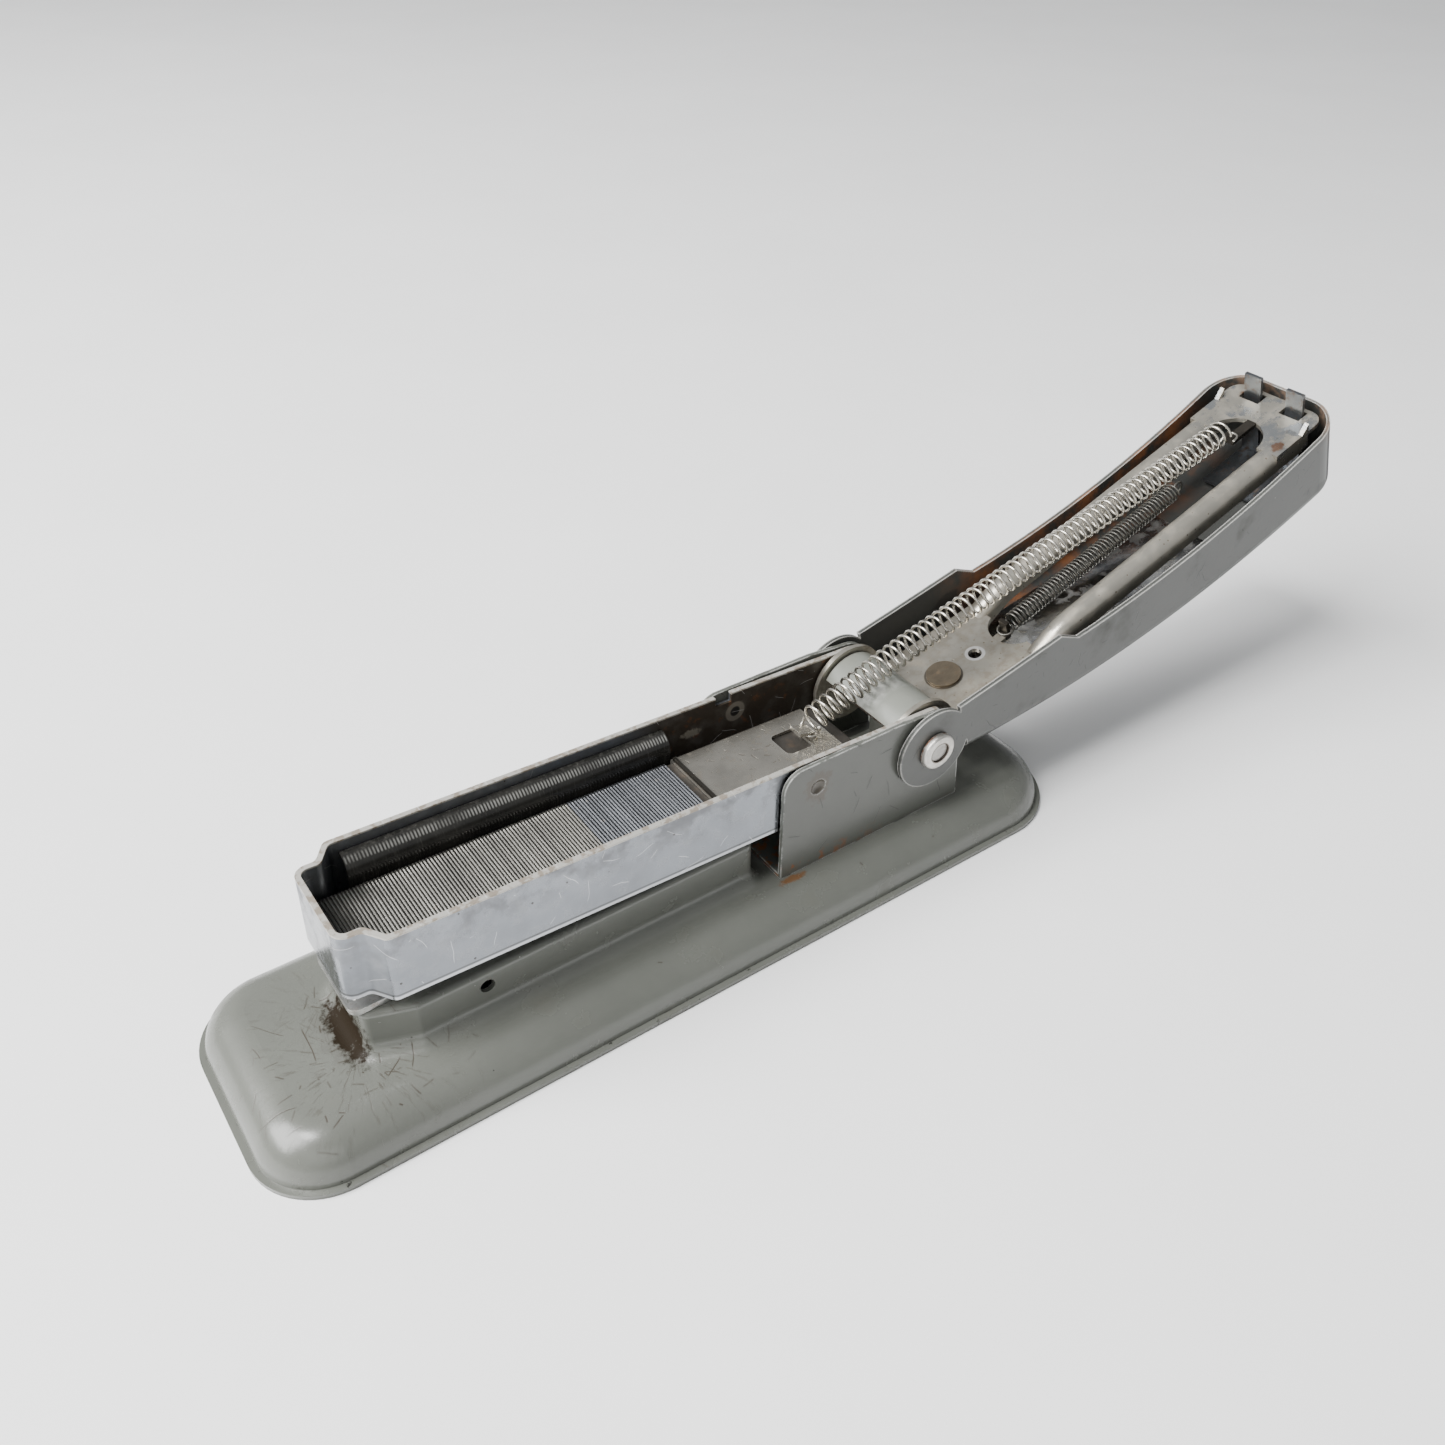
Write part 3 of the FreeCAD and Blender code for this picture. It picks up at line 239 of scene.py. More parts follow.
def new_group(name, kind, sockets, output, output_kind):
    """A node group with named inputs (name, socket type, default) and one output."""
    tree = bpy.data.node_groups.new(name, kind)
    for label, socket_type, default in sockets:
        socket = tree.interface.new_socket(name=label, in_out="INPUT", socket_type=socket_type)
        if default is not None:
            socket.default_value = default
    tree.interface.new_socket(name=output, in_out="OUTPUT", socket_type=output_kind)
    graph = Graph(tree)
    return tree, graph, graph.add("NodeGroupInput").outputs, graph.add("NodeGroupOutput").inputs[0]


FLOAT, VECTOR = "NodeSocketFloat", "NodeSocketVector"
PLACE = ("Place", (0.0, 0.0, 0.0))
CENTRE = ("Centre", (0.0, 0.0, 0.0))


# ---- effects that several finishes share --------------------------------------------------------
def clouds_group():
    """Soft cloudy variation, from 0 to 1."""
    tree, g, given, result = effect_group(
        "Clouds", [("Size", 10.0), ("Low", 0.35), ("High", 0.65)], [PLACE])
    scale = g.math("DIVIDE", 1.0, given["Size"])
    value = g.noise(given["Place"], scale, detail=5.0, roughness=0.6)
    g.feed(result, g.span(value, given["Low"], given["High"]))
    return tree


def strokes_group():
    """Short scratches lying at random on the x-y plane of the place."""
    tree, g, given, result = effect_group(
        "Scratch strokes", [("Cell", 4.0), ("Length", 3.0), ("Width", 0.08), ("Density", 0.4),
                            ("Bend", 0.25)], [PLACE])
    at = g.scaled(given["Place"], g.math("DIVIDE", 1.0, given["Cell"]))
    wander = g.add("ShaderNodeTexNoise", {"Vector": at, "Scale": 0.9, "Detail": 1.0})
    sway = g.vector("SUBTRACT", wander.outputs["Color"], (0.5, 0.5, 0.5))
    at = g.vector("ADD", at, g.scaled(sway, given["Bend"]))
    cell = g.add("ShaderNodeTexVoronoi", {"Vector": at, "Scale": 1.0}, voronoi_dimensions="2D")
    chance = g.split(cell.outputs["Color"])
    off = g.vector("SUBTRACT", at, cell.outputs["Position"])
    inputs = {"Vector": off, "Angle": g.math("MULTIPLY", chance[0], 2 * math.pi)}
    part = g.split(g.add("ShaderNodeVectorRotate", inputs, rotation_type="Z_AXIS").outputs[0])
    across = g.math("MULTIPLY", g.math("ABSOLUTE", part[1]), given["Cell"])
    along = g.math("MULTIPLY", g.math("ABSOLUTE", part[0]), given["Cell"])
    reach = g.math("MULTIPLY", g.math("MULTIPLY", given["Length"], 0.5), chance[1])
    thin = g.span(across, g.math("MULTIPLY", given["Width"], 0.5), given["Width"], 1.0, 0.0)
    ends = g.span(along, g.math("MULTIPLY", reach, 0.7), reach, 1.0, 0.0)
    kept = g.math("LESS_THAN", chance[2], given["Density"])
    g.feed(result, g.math("MULTIPLY", g.math("MULTIPLY", thin, ends), kept))
    return tree


def specks_group():
    """Small round pits and specks scattered over the surface."""
    tree, g, given, result = effect_group(
        "Specks", [("Cell", 1.2), ("Size", 0.15), ("Density", 0.25)], [PLACE])
    at = g.scaled(given["Place"], g.math("DIVIDE", 1.0, given["Cell"]))
    cell = g.add("ShaderNodeTexVoronoi", {"Vector": at, "Scale": 1.0})
    chance = g.split(cell.outputs["Color"])
    share = g.math("DIVIDE", given["Size"], given["Cell"])
    size = g.math("MULTIPLY", share, g.math("ADD", chance[1], 0.3))
    dot = g.span(cell.outputs["Distance"], g.math("MULTIPLY", size, 0.6), size, 1.0, 0.0)
    g.feed(result, g.math("MULTIPLY", dot, g.math("LESS_THAN", chance[0], given["Density"])))
    return tree


def spot_group():
    """A ragged patch round one place, solid in its middle."""
    tree, g, given, result = effect_group(
        "Patch", [("Reach", 5.0), ("Grain", 1.0)], [PLACE, CENTRE, ("Stretch", (1.0, 1.0, 1.0))])
    off = g.vector("SUBTRACT", given["Place"], given["Centre"])
    off = g.vector("DIVIDE", off, given["Stretch"])
    near = g.span(g.vector("LENGTH", off), 0.0, given["Reach"], 1.0, 0.0)
    scale = g.math("DIVIDE", 1.0, given["Grain"])
    ragged = g.noise(given["Place"], scale, detail=5.0, roughness=0.65)
    total = g.math("ADD", near, g.math("SUBTRACT", ragged, 0.5))
    g.feed(result, g.span(total, 0.42, 0.62))
    return tree


def edges_group():
    """Wear along sharp edges, broken up by noise."""
    tree, g, given, result = effect_group(
        "Edge wear", [("Radius", 0.0004), ("Low", 0.4), ("Grain", 3.0)], [PLACE])
    rounded = g.add("ShaderNodeBevel", {"Radius": given["Radius"]}, samples=4).outputs[0]
    true_normal = g.add("ShaderNodeNewGeometry").outputs["Normal"]
    turned = g.math("SUBTRACT", 1.0, g.vector("DOT_PRODUCT", rounded, true_normal))
    edge = g.span(turned, 0.01, 0.12)
    scale = g.math("DIVIDE", 1.0, given["Grain"])
    broken = g.noise(given["Place"], scale, detail=4.0, roughness=0.7)
    kept = g.span(broken, given["Low"], g.math("ADD", given["Low"], 0.12))
    g.feed(result, g.math("MULTIPLY", edge, kept))
    return tree


def rays_group():
    """Scratches that run out from one place, thinning with distance."""
    tree, g, given, result = effect_group(
        "Radiating scratches", [("Reach", 12.0)], [PLACE, CENTRE])
    off = g.split(g.vector("SUBTRACT", given["Place"], given["Centre"]))
    turn = g.math("ARCTAN2", off[1], off[0])
    squares = [g.math("MULTIPLY", part, part) for part in (off[0], off[1])]
    reach = g.math("SQRT", g.math("ADD", *squares))
    fan = g.join(g.math("MULTIPLY", turn, 9.0), g.math("MULTIPLY", reach, 0.16), 0.0)
    lines = g.noise(fan, 1.6, detail=3.0, roughness=0.7)
    crisp = g.span(lines, 0.57, 0.61)
    fade = g.span(reach, g.math("MULTIPLY", given["Reach"], 0.35), given["Reach"], 1.0, 0.0)
    g.feed(result, g.math("MULTIPLY", crisp, fade))
    return tree


def window_group():
    """1 where a value lies between low and high, with a soft border."""
    tree, g, given, result = effect_group(
        "Between", [("Value", 0.0), ("Low", 0.0), ("High", 1.0), ("Soft", 0.1)])
    above = g.span(given["Value"], g.math("SUBTRACT", given["Low"], given["Soft"]), given["Low"])
    end = g.math("ADD", given["High"], given["Soft"])
    below = g.span(given["Value"], given["High"], end, 1.0, 0.0)
    g.feed(result, g.math("MULTIPLY", above, below))
    return tree


EFFECTS = {}


def build_effects():
    for make in (clouds_group, strokes_group, specks_group, spot_group, edges_group, rays_group,
                 window_group):
        EFFECTS[make.__name__.removesuffix("_group")] = make()


class Finish(Graph):
    """One material: its shader, and the surface's place in millimetres in its part's own frame."""

    def __init__(self, name, turn=0.0):
        self.material = bpy.data.materials.new(name)
        self.material.use_nodes = True
        self.material.node_tree.nodes.clear()
        super().__init__(self.material.node_tree)
        self.shader = self.add("ShaderNodeBsdfPrincipled")
        output = self.add("ShaderNodeOutputMaterial")
        self.tree.links.new(self.shader.outputs["BSDF"], output.inputs["Surface"])
        coordinates = self.add("ShaderNodeTexCoord")
        shift = Matrix.Rotation(turn, 3, "Y") @ (PIVOT / MM)
        inputs = {"Vector": coordinates.outputs["Object"], "Location": -shift,
                  "Rotation": (0, turn, 0), "Scale": (1 / MM,) * 3}
        self.place = self.add("ShaderNodeMapping", inputs).outputs[0]
        inputs = {"Vector": coordinates.outputs["Normal"], "Rotation": (0, turn, 0)}
        facing = self.add("ShaderNodeMapping", inputs, vector_type="VECTOR").outputs[0]
        self.facing_up = self.split(facing)[2]
        self.x, self.y, self.z = self.split(self.place)
        self.side = self.join(self.x, self.z, 0.0)
        self.colour = None
        self.height = None

    def effect(self, name, place=None, **inputs):
        inputs["Place"] = place or self.place
        return self.group(EFFECTS[name], inputs)

    def clouds(self, size, low=0.35, high=0.65):
        return self.effect("clouds", Size=size, Low=low, High=high)

    def specks(self, cell, size, density, place=None):
        return self.effect("specks", place, Cell=cell, Size=size, Density=density)

    def strokes(self, cell, length, width, density, bend=0.25, place=None):
        return self.effect("strokes", place, Cell=cell, Length=length, Width=width,
                           Density=density, Bend=bend)

    def spot(self, centre, stretch, reach, grain):
        return self.effect("spot", Centre=centre, Stretch=stretch, Reach=reach, Grain=grain)

    def edges(self, low, grain, radius=0.0004):
        return self.effect("edges", Radius=radius, Low=low, Grain=grain)

    def between(self, value, low, high, soft=0.1):
        inputs = {"Value": value, "Low": low, "High": high, "Soft": soft}
        return self.group(EFFECTS["window"], inputs)

    def shifted(self, move, place=None):
        """The place moved, so that an effect used twice doesn't repeat."""
        return self.vector("ADD", place or self.place, move)

    def away(self, centre, axes):
        """Distance from a place, measured along the axes that are 1."""
        off = self.vector("SUBTRACT", self.place, centre)
        return self.vector("LENGTH", self.vector("MULTIPLY", off, axes))

    def times(self, *masks):
        total = masks[0]
        for mask in masks[1:]:
            total = self.math("MULTIPLY", total, mask)
        return total

    def most(self, *masks):
        total = masks[0]
        for mask in masks[1:]:
            total = self.math("MAXIMUM", total, mask)
        return total

    def mottle(self, mask, base, dark, light):
        """Start from one colour, darker where the mask is 0 and lighter where it is 1."""
        self.colour = self.blend(mask, shade(base, dark), shade(base, light))

    def tint(self, mask, tone, strength=1.0):
        """Lay a colour over what is there where the mask is 1."""
        factor = self.math("MULTIPLY", mask, strength, clamp=True)
        self.colour = self.blend(factor, self.colour, tone)

    def raise_by(self, mask, amount):
        """Add to the height that feeds the bump."""
        part = self.math("MULTIPLY", mask, amount)
        self.height = part if self.height is None else self.math("ADD", self.height, part)

    def done(self, roughness, metallic, bump=0.00008):
        self.feed(self.shader.inputs["Base Color"], self.colour)
        self.feed(self.shader.inputs["Roughness"], roughness)
        self.feed(self.shader.inputs["Metallic"], metallic)
        if self.height is not None:
            inputs = {"Strength": BUMP_STRENGTH, "Distance": bump, "Height": self.height}
            self.feed(self.shader.inputs["Normal"], self.add("ShaderNodeBump", inputs).outputs[0])
        return self.material


def shade(base, factor):
    """A colour made darker or lighter."""
    return tuple(min(1.0, channel * factor) for channel in base)


def assign(material, *names):
    """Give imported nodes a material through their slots."""
    for name in names:
        for slot in NODES[name].material_slots:
            slot.material = material


# ---- finishes -----------------------------------------------------------------------------------
# Places are millimetres from the pivot in the part's own frame, and colours are linear.
BUMP_STRENGTH = 0.6
BLACK_CHIP = (0.012, 0.011, 0.010)
FLANGE_FOOT = (-20.5, -19.0)
FLANGE_CONTACT_SHADE = (-20.4, -19.95)
CHROME_RIM = 5.75
HEM_HIGHLIGHT_BAND = (-5.1, -4.55)
FOLD_SHADE_BAND = (-4.4, -4.15)
BAY_START, BAY_END = -42.0, -36.0
PUSHER_FRONT = -36.3
HEAD_START, HEAD_FULL = 80.0, 86.0


def enamel(name, base, turn=0.0):
    """Stoved enamel: orange peel, cloudy tone and specks; also gives the mask of its grime."""
    f = Finish(name, turn)
    f.mottle(f.clouds(22.0, 0.3, 0.7), base, 0.9, 1.08)
    f.tint(f.clouds(3.5, 0.35, 0.75), shade(base, 0.86), 0.35)
    grime = f.clouds(9.0, 0.56, 0.74)
    f.tint(grime, (base[0] * 0.72, base[1] * 0.66, base[2] * 0.56), 0.35)
    f.raise_by(f.noise(f.place, 1.3, detail=3.0), 0.25)
    dark = f.specks(2.6, 0.16, 0.22)
    f.tint(dark, BLACK_CHIP, 0.75)
    f.tint(f.specks(3.4, 0.13, 0.25, f.shifted((31.0, 7.0, 3.0))), (0.6, 0.6, 0.57), 0.6)
    f.raise_by(dark, -0.5)
    return f, grime


def base_enamel(colours):
    """Enamel of the base: dark scratches round the anvil, chips and dirt along the foot, painted
    contact shadow at its bottom edge.
    """
    f, grime = enamel("base_enamel", colours.enamel)
    anvil = (ANVIL - PIVOT) / MM
    nose = Vector((anvil.x - 5.0, -6.0, 0))
    near = f.clouds(7.0, 0.25, 0.6)
    zone = f.span(f.away(nose, (1.0, 1.0, 0.0)), 4.0, 19.0, 1.0, 0.0)
    short = f.times(f.strokes(2.3, 3.6, 0.15, 0.6, 0.2), f.span(zone, 0.1, 0.6), near)
    long = f.times(f.strokes(6.5, 9.0, 0.11, 0.6, 0.3), f.span(zone, 0.0, 0.5))
    rays = f.times(f.effect("rays", Centre=nose, Reach=15.0), 0.6)
    far_centre = Vector((anvil.x - 6.0, 5.0, 0))
    far_rays = f.times(f.effect("rays", Centre=far_centre, Reach=12.0), near, 0.5)
    sparse = f.times(f.strokes(8.0, 3.0, 0.14, 0.35, 0.2, f.shifted((13.0, 41.0, 0.0))), 0.8)
    top = f.span(f.facing_up, 0.25, 0.6)
    marks = f.times(f.most(short, long, rays, far_rays, sparse), top)
    f.tint(marks, (0.030, 0.023, 0.014), 0.95)
    f.raise_by(marks, -0.25)
    # A near-black patch without sheen at the foot of the ridge under the nose, in a darker
    # surround.
    nose_dark_patch = f.spot((anvil.x - 5.0, -1.5, -12.0), (0.5, 1.5, 0.9), 8.5, 1.3)
    nose_dark_surround = f.spot((anvil.x - 5.4, -1.5, -13.0), (0.8, 1.6, 1.0), 7.5, 2.2)
    f.tint(nose_dark_surround, (0.045, 0.042, 0.033), 0.4)
    f.tint(nose_dark_patch, (0.014, 0.010, 0.006), 1.0)
    f.feed(f.shader.inputs["Specular IOR Level"], f.span(nose_dark_patch, 0.0, 1.0, 0.5, 0.05))
    chips = f.clouds(2.2, 0.66, 0.69)
    f.tint(f.times(f.between(f.z, *FLANGE_FOOT, 0.3), chips), BLACK_CHIP, 0.9)
    # Painted contact shadow: the bottom edge of the flange darkened where it meets the floor.
    f.tint(f.between(f.z, *FLANGE_CONTACT_SHADE, 0.1), shade(colours.enamel, 0.45), 0.6)
    dirt = f.spot((-27.0, -12.3, -13.3), (2.2, 0.6, 1.0), 2.2, 1.0)
    f.tint(dirt, (0.12, 0.055, 0.018), 0.85)
    f.tint(f.times(f.edges(0.56, 2.4), f.span(f.z, -17.0, -19.5)), BLACK_CHIP, 0.7)
    return f.done(f.span(f.most(grime, marks, nose_dark_surround), 0.0, 1.0, 0.25, 0.55), 0.0)


def bracket_enamel(colours):
    """Enamel of the hinge bracket: the base grey darkened as painted shade, rusty along the bottom
    edge and worn at the top.
    """
    # The base grey darkened: painted shade for the bracket's shaded side.
    f, grime = enamel("bracket_enamel", shade(colours.enamel, 0.78))
    foot = f.between(f.z, -13.6, -11.4, 0.8)
    forward = f.span(f.x, -8.0, -22.0)
    f.tint(f.times(foot, f.clouds(1.8, 0.5, 0.6), forward), colours.rust, 0.9)
    dimple = (-22.4, -11.5, 2.3)
    f.tint(f.spot(dimple, (1.0, 1.0, 1.3), 4.6, 1.3), (0.065, 0.050, 0.034), 0.7)
    marks = f.strokes(4.5, 4.0, 0.1, 0.5, place=f.side)
    f.tint(marks, shade(colours.enamel, 0.35), 0.7)
    f.tint(f.edges(0.42, 3.0), (0.5, 0.5, 0.48), 0.85)
    f.raise_by(marks, -0.6)
    return f.done(f.span(grime, 0.0, 1.0, 0.3, 0.5), 0.0)


def guard_enamel(colours):
    """Pale, smooth enamel of the rolled guard: the base grey lightened as painted light, rubbed by
    the spring.
    """
    # The base grey made 1.5 times lighter: painted light.
    f, _ = enamel("guard_enamel", shade(colours.enamel, 1.5))
    rubbed = f.times(f.between(f.y, -2.2, 2.8, 1.2), f.clouds(1.4, 0.4, 0.62))
    f.tint(rubbed, (0.42, 0.42, 0.40), 0.45)
    f.tint(f.edges(0.4, 3.0), (0.10, 0.09, 0.075), 0.7)
    return f.done(0.3, 0.0)


def cover_enamel(colours):
    """Enamel of the cover: the base grey darkened as painted shade, scratched outside, darker and
    rust-brown inside.
    """
    f, grime = enamel("cover_enamel", colours.cover, OPEN_ANGLE)
    marks = f.strokes(5.0, 5.0, 0.08, 0.5, 0.8, f.side)
    small = f.strokes(2.2, 1.7, 0.09, 0.3, 0.6, f.shifted((17.0, 5.0, 0.0), f.side))
    f.tint(f.most(marks, small), shade(colours.cover, 0.3), 0.75)
    f.raise_by(marks, -0.6)
    wall = f.math("LESS_THAN", f.math("ABSOLUTE", f.y), 12.2)
    inward = f.math("GREATER_THAN", f.facing_up, -0.3)
    inside = f.times(wall, inward, f.math("LESS_THAN", f.x, 96.55))
    f.tint(inside, shade(colours.cover, 0.42), 0.75)
    far_side = f.span(f.y, 4.0, 11.0)
    along = f.between(f.x, 34.0, 80.0, 12.0)
    f.tint(f.times(inside, f.clouds(6.0, 0.42, 0.6), far_side, along), colours.rust, 0.95)
    soot = f.spot((24.0, 11.8, -3.0), (1.6, 1.0, 0.8), 4.0, 1.3)
    f.tint(f.times(inside, soot), BLACK_CHIP, 0.9)
    rim = f.times(f.edges(0.3, 4.0), f.span(f.z, -8.0, -5.0))
    f.tint(rim, (0.52, 0.51, 0.48), 0.85)
    tip = f.times(f.span(f.x, 88.0, 94.0), f.span(f.z, -6.0, -3.0), f.clouds(2.5, 0.46, 0.6))
    f.tint(tip, (0.16, 0.10, 0.065), 0.7)
    return f.done(f.span(f.most(grime, inside), 0.0, 1.0, 0.33, 0.58), 0.0)


def chrome(colours):
    """Old chrome of the magazine: clouded, pitted, its top rim cream, a painted highlight along its
    hem and painted shade above it.
    """
    f = Finish("old_chrome", -MAGAZINE_TILT)
    f.mottle(f.clouds(14.0, 0.3, 0.7), colours.chrome, 0.82, 1.1)
    haze = f.clouds(2.6, 0.48, 0.68)
    f.tint(haze, (0.40, 0.41, 0.42), 0.22)
    # Painted reflection: the upper part of the walls darker in clouds; the same mask also dulls
    # them.
    upper_dull_and_painted_reflection = f.times(f.span(f.z, -1.0, 4.5), f.clouds(3.8, 0.45, 0.6))
    f.tint(upper_dull_and_painted_reflection, (0.16, 0.16, 0.165), 0.5)
    pits = f.specks(1.7, 0.17, 0.24)
    f.tint(pits, (0.07, 0.06, 0.05), 0.8)
    f.raise_by(pits, -0.8)
    between_walls = f.math("LESS_THAN", f.math("ABSOLUTE", f.y), 10.0)
    behind_nose = f.math("GREATER_THAN", f.x, -94.2)
    below_rim = f.math("LESS_THAN", f.z, 5.9)
    inside = f.times(between_walls, behind_nose, below_rim)
    # Painted shade in the gap before the pusher: the channel darkened there, with rust in clouds.
    gap_shade_and_rust = f.times(inside, f.span(f.x, BAY_START, BAY_END))
    f.tint(gap_shade_and_rust, (0.075, 0.066, 0.052), 0.85)
    f.tint(f.times(gap_shade_and_rust, f.clouds(4.5, 0.2, 0.5)), (0.030, 0.021, 0.013), 0.9)
    f.tint(f.times(gap_shade_and_rust, f.clouds(2.4, 0.58, 0.68)), colours.rust, 0.5)
    flake = f.spot((-31.0, 9.7, 1.2), (1.8, 1.0, 0.8), 1.9, 1.2)
    f.tint(f.times(inside, flake), (0.25, 0.23, 0.19), 0.8)
    boss = f.away((-22.6, 0, 2.2), (1.0, 0.0, 1.0))
    f.tint(f.times(inside, f.between(boss, 1.0, 1.7, 0.25)), (0.22, 0.20, 0.17), 0.7)
    f.tint(f.times(inside, f.span(boss, 0.95, 0.75)), BLACK_CHIP, 0.95)
    rim = f.math("GREATER_THAN", f.z, CHROME_RIM)
    f.tint(rim, (0.50, 0.48, 0.43), 0.85)
    f.tint(f.times(rim, f.clouds(1.3, 0.5, 0.58)), (0.22, 0.17, 0.12), 0.7)
    # Painted shade along the fold, and a painted highlight along the hem below it.
    f.tint(f.between(f.z, *FOLD_SHADE_BAND, 0.06), (0.10, 0.10, 0.10), 0.8)
    f.tint(f.between(f.z, *HEM_HIGHLIGHT_BAND, 0.05), (0.60, 0.61, 0.63), 0.55)
    f.tint(f.strokes(4.0, 5.0, 0.05, 0.6, 0.4, f.side), (0.8, 0.8, 0.8), 0.4)
    f.raise_by(f.noise(f.place, 0.5, detail=2.0), 0.7)
    f.raise_by(haze, 0.15)
    dull = f.most(f.times(haze, 0.6), rim, f.times(inside, 0.8), upper_dull_and_painted_reflection)
    bare = f.most(f.times(rim, 0.7), f.times(gap_shade_and_rust, 0.8))
    return f.done(f.span(dull, 0.0, 1.0, 0.17, 0.5), f.span(bare, 0.0, 1.0, 1.0, 0.25),
                  bump=0.00006)


def black_steel():
    """Glossy blacked spring steel with dust on its rounded top and a painted reflection of the
    staples along it.
    """
    f = Finish("black_spring_steel", -MAGAZINE_TILT)
    f.colour = f.blend(f.clouds(5.0, 0.3, 0.7), (0.012, 0.012, 0.011), (0.026, 0.025, 0.022))
    dust = f.times(f.span(f.facing_up, 0.5, 1.0), f.clouds(0.8, 0.5, 0.7))
    f.tint(dust, (0.16, 0.155, 0.14), 0.2)
    # Painted reflection: light ticks at the staple pitch along the rounded top.
    tick_phase = f.math("FRACT", f.math("MULTIPLY", f.x, 2.0))
    staple_reflection_ticks = f.times(f.between(tick_phase, 0.35, 0.6, 0.2), f.between(f.z, 3.45, 3.85, 0.2))
    f.tint(f.times(staple_reflection_ticks, f.clouds(9.0, 0.3, 0.5)), (0.30, 0.30, 0.28), 0.6)
    drawn = f.join(f.math("MULTIPLY", f.x, 2.5), f.y, f.math("MULTIPLY", f.z, 0.15))
    drag = f.noise(drawn, 1.5, detail=3.0)
    f.tint(f.span(drag, 0.55, 0.75), (0.05, 0.048, 0.043), 0.5)
    f.raise_by(drag, 0.25)
    return f.done(f.span(dust, 0.0, 1.0, 0.12, 0.3), 0.2)


def plated_rail():
    """Dull zinc of the core rail, near black as painted shade for the gap before the pusher, with
    brown patches of old grease.
    """
    f = Finish("plated_rail", -MAGAZINE_TILT)
    # Near black all over: painted shade.
    f.colour = f.blend(f.clouds(6.0), (0.02, 0.018, 0.015), (0.045, 0.04, 0.034))
    f.tint(f.clouds(2.0, 0.55, 0.7), (0.07, 0.05, 0.035), 0.6)
    f.raise_by(f.noise(f.place, 3.0), 0.4)
    return f.done(0.5, 0.3)


def staple_finish(name, base):
    """Galvanised wire: every staple has its own tone, with glue and tarnish between them."""
    f = Finish(name, -MAGAZINE_TILT)
    number = f.math("FLOOR", f.math("DIVIDE", f.x, 0.5))
    own = f.add("ShaderNodeTexWhiteNoise", {"W": number}, noise_dimensions="1D")
    f.mottle(own.outputs["Value"], base, 0.7, 1.15)
    f.tint(f.clouds(8.0, 0.45, 0.7), shade(base, 0.6), 0.5)
    stain = f.specks(1.6, 0.35, 0.18)
    f.tint(stain, (0.10, 0.085, 0.07), 0.7)
    ends = f.span(f.math("ABSOLUTE", f.y), 4.6, 6.4)
    f.tint(f.times(ends, f.clouds(1.2, 0.42, 0.6)), (0.07, 0.06, 0.05), 0.55)
    f.raise_by(f.noise(f.place, 6.0), 0.3)
    return f.done(f.span(stain, 0.0, 1.0, 0.26, 0.5), 0.95, bump=0.00003)


def nickel(colours):
    """Worn nickel of the pusher, scratched, with dark stains and painted shade along its front lip.
    """
    f = Finish("worn_nickel", -MAGAZINE_TILT)
    f.mottle(f.clouds(6.0, 0.3, 0.7), colours.nickel, 0.72, 1.08)
    marks = f.strokes(1.7, 2.0, 0.12, 0.45, 1.0)
    f.tint(marks, (0.2, 0.18, 0.15), 0.7)
    stain = f.clouds(1.6, 0.56, 0.68)
    f.tint(stain, (0.24, 0.20, 0.15), 0.5)
    f.tint(f.specks(1.0, 0.12, 0.25), (0.05, 0.04, 0.03), 0.7)
    f.tint(f.edges(0.35, 2.0, 0.0003), (0.85, 0.83, 0.78), 0.6)
    # Painted shade: the front lip darkened over the gap before the staples.
    front = f.span(f.x, PUSHER_FRONT + 0.1, PUSHER_FRONT - 0.1)
    f.tint(f.times(front, f.span(f.z, 0.9, 1.0)), (0.03, 0.026, 0.02), 0.9)
    f.raise_by(marks, -0.5)
    f.raise_by(f.noise(f.place, 0.8), 0.5)
    return f.done(f.span(f.most(stain, marks), 0.0, 1.0, 0.27, 0.5), 0.92)


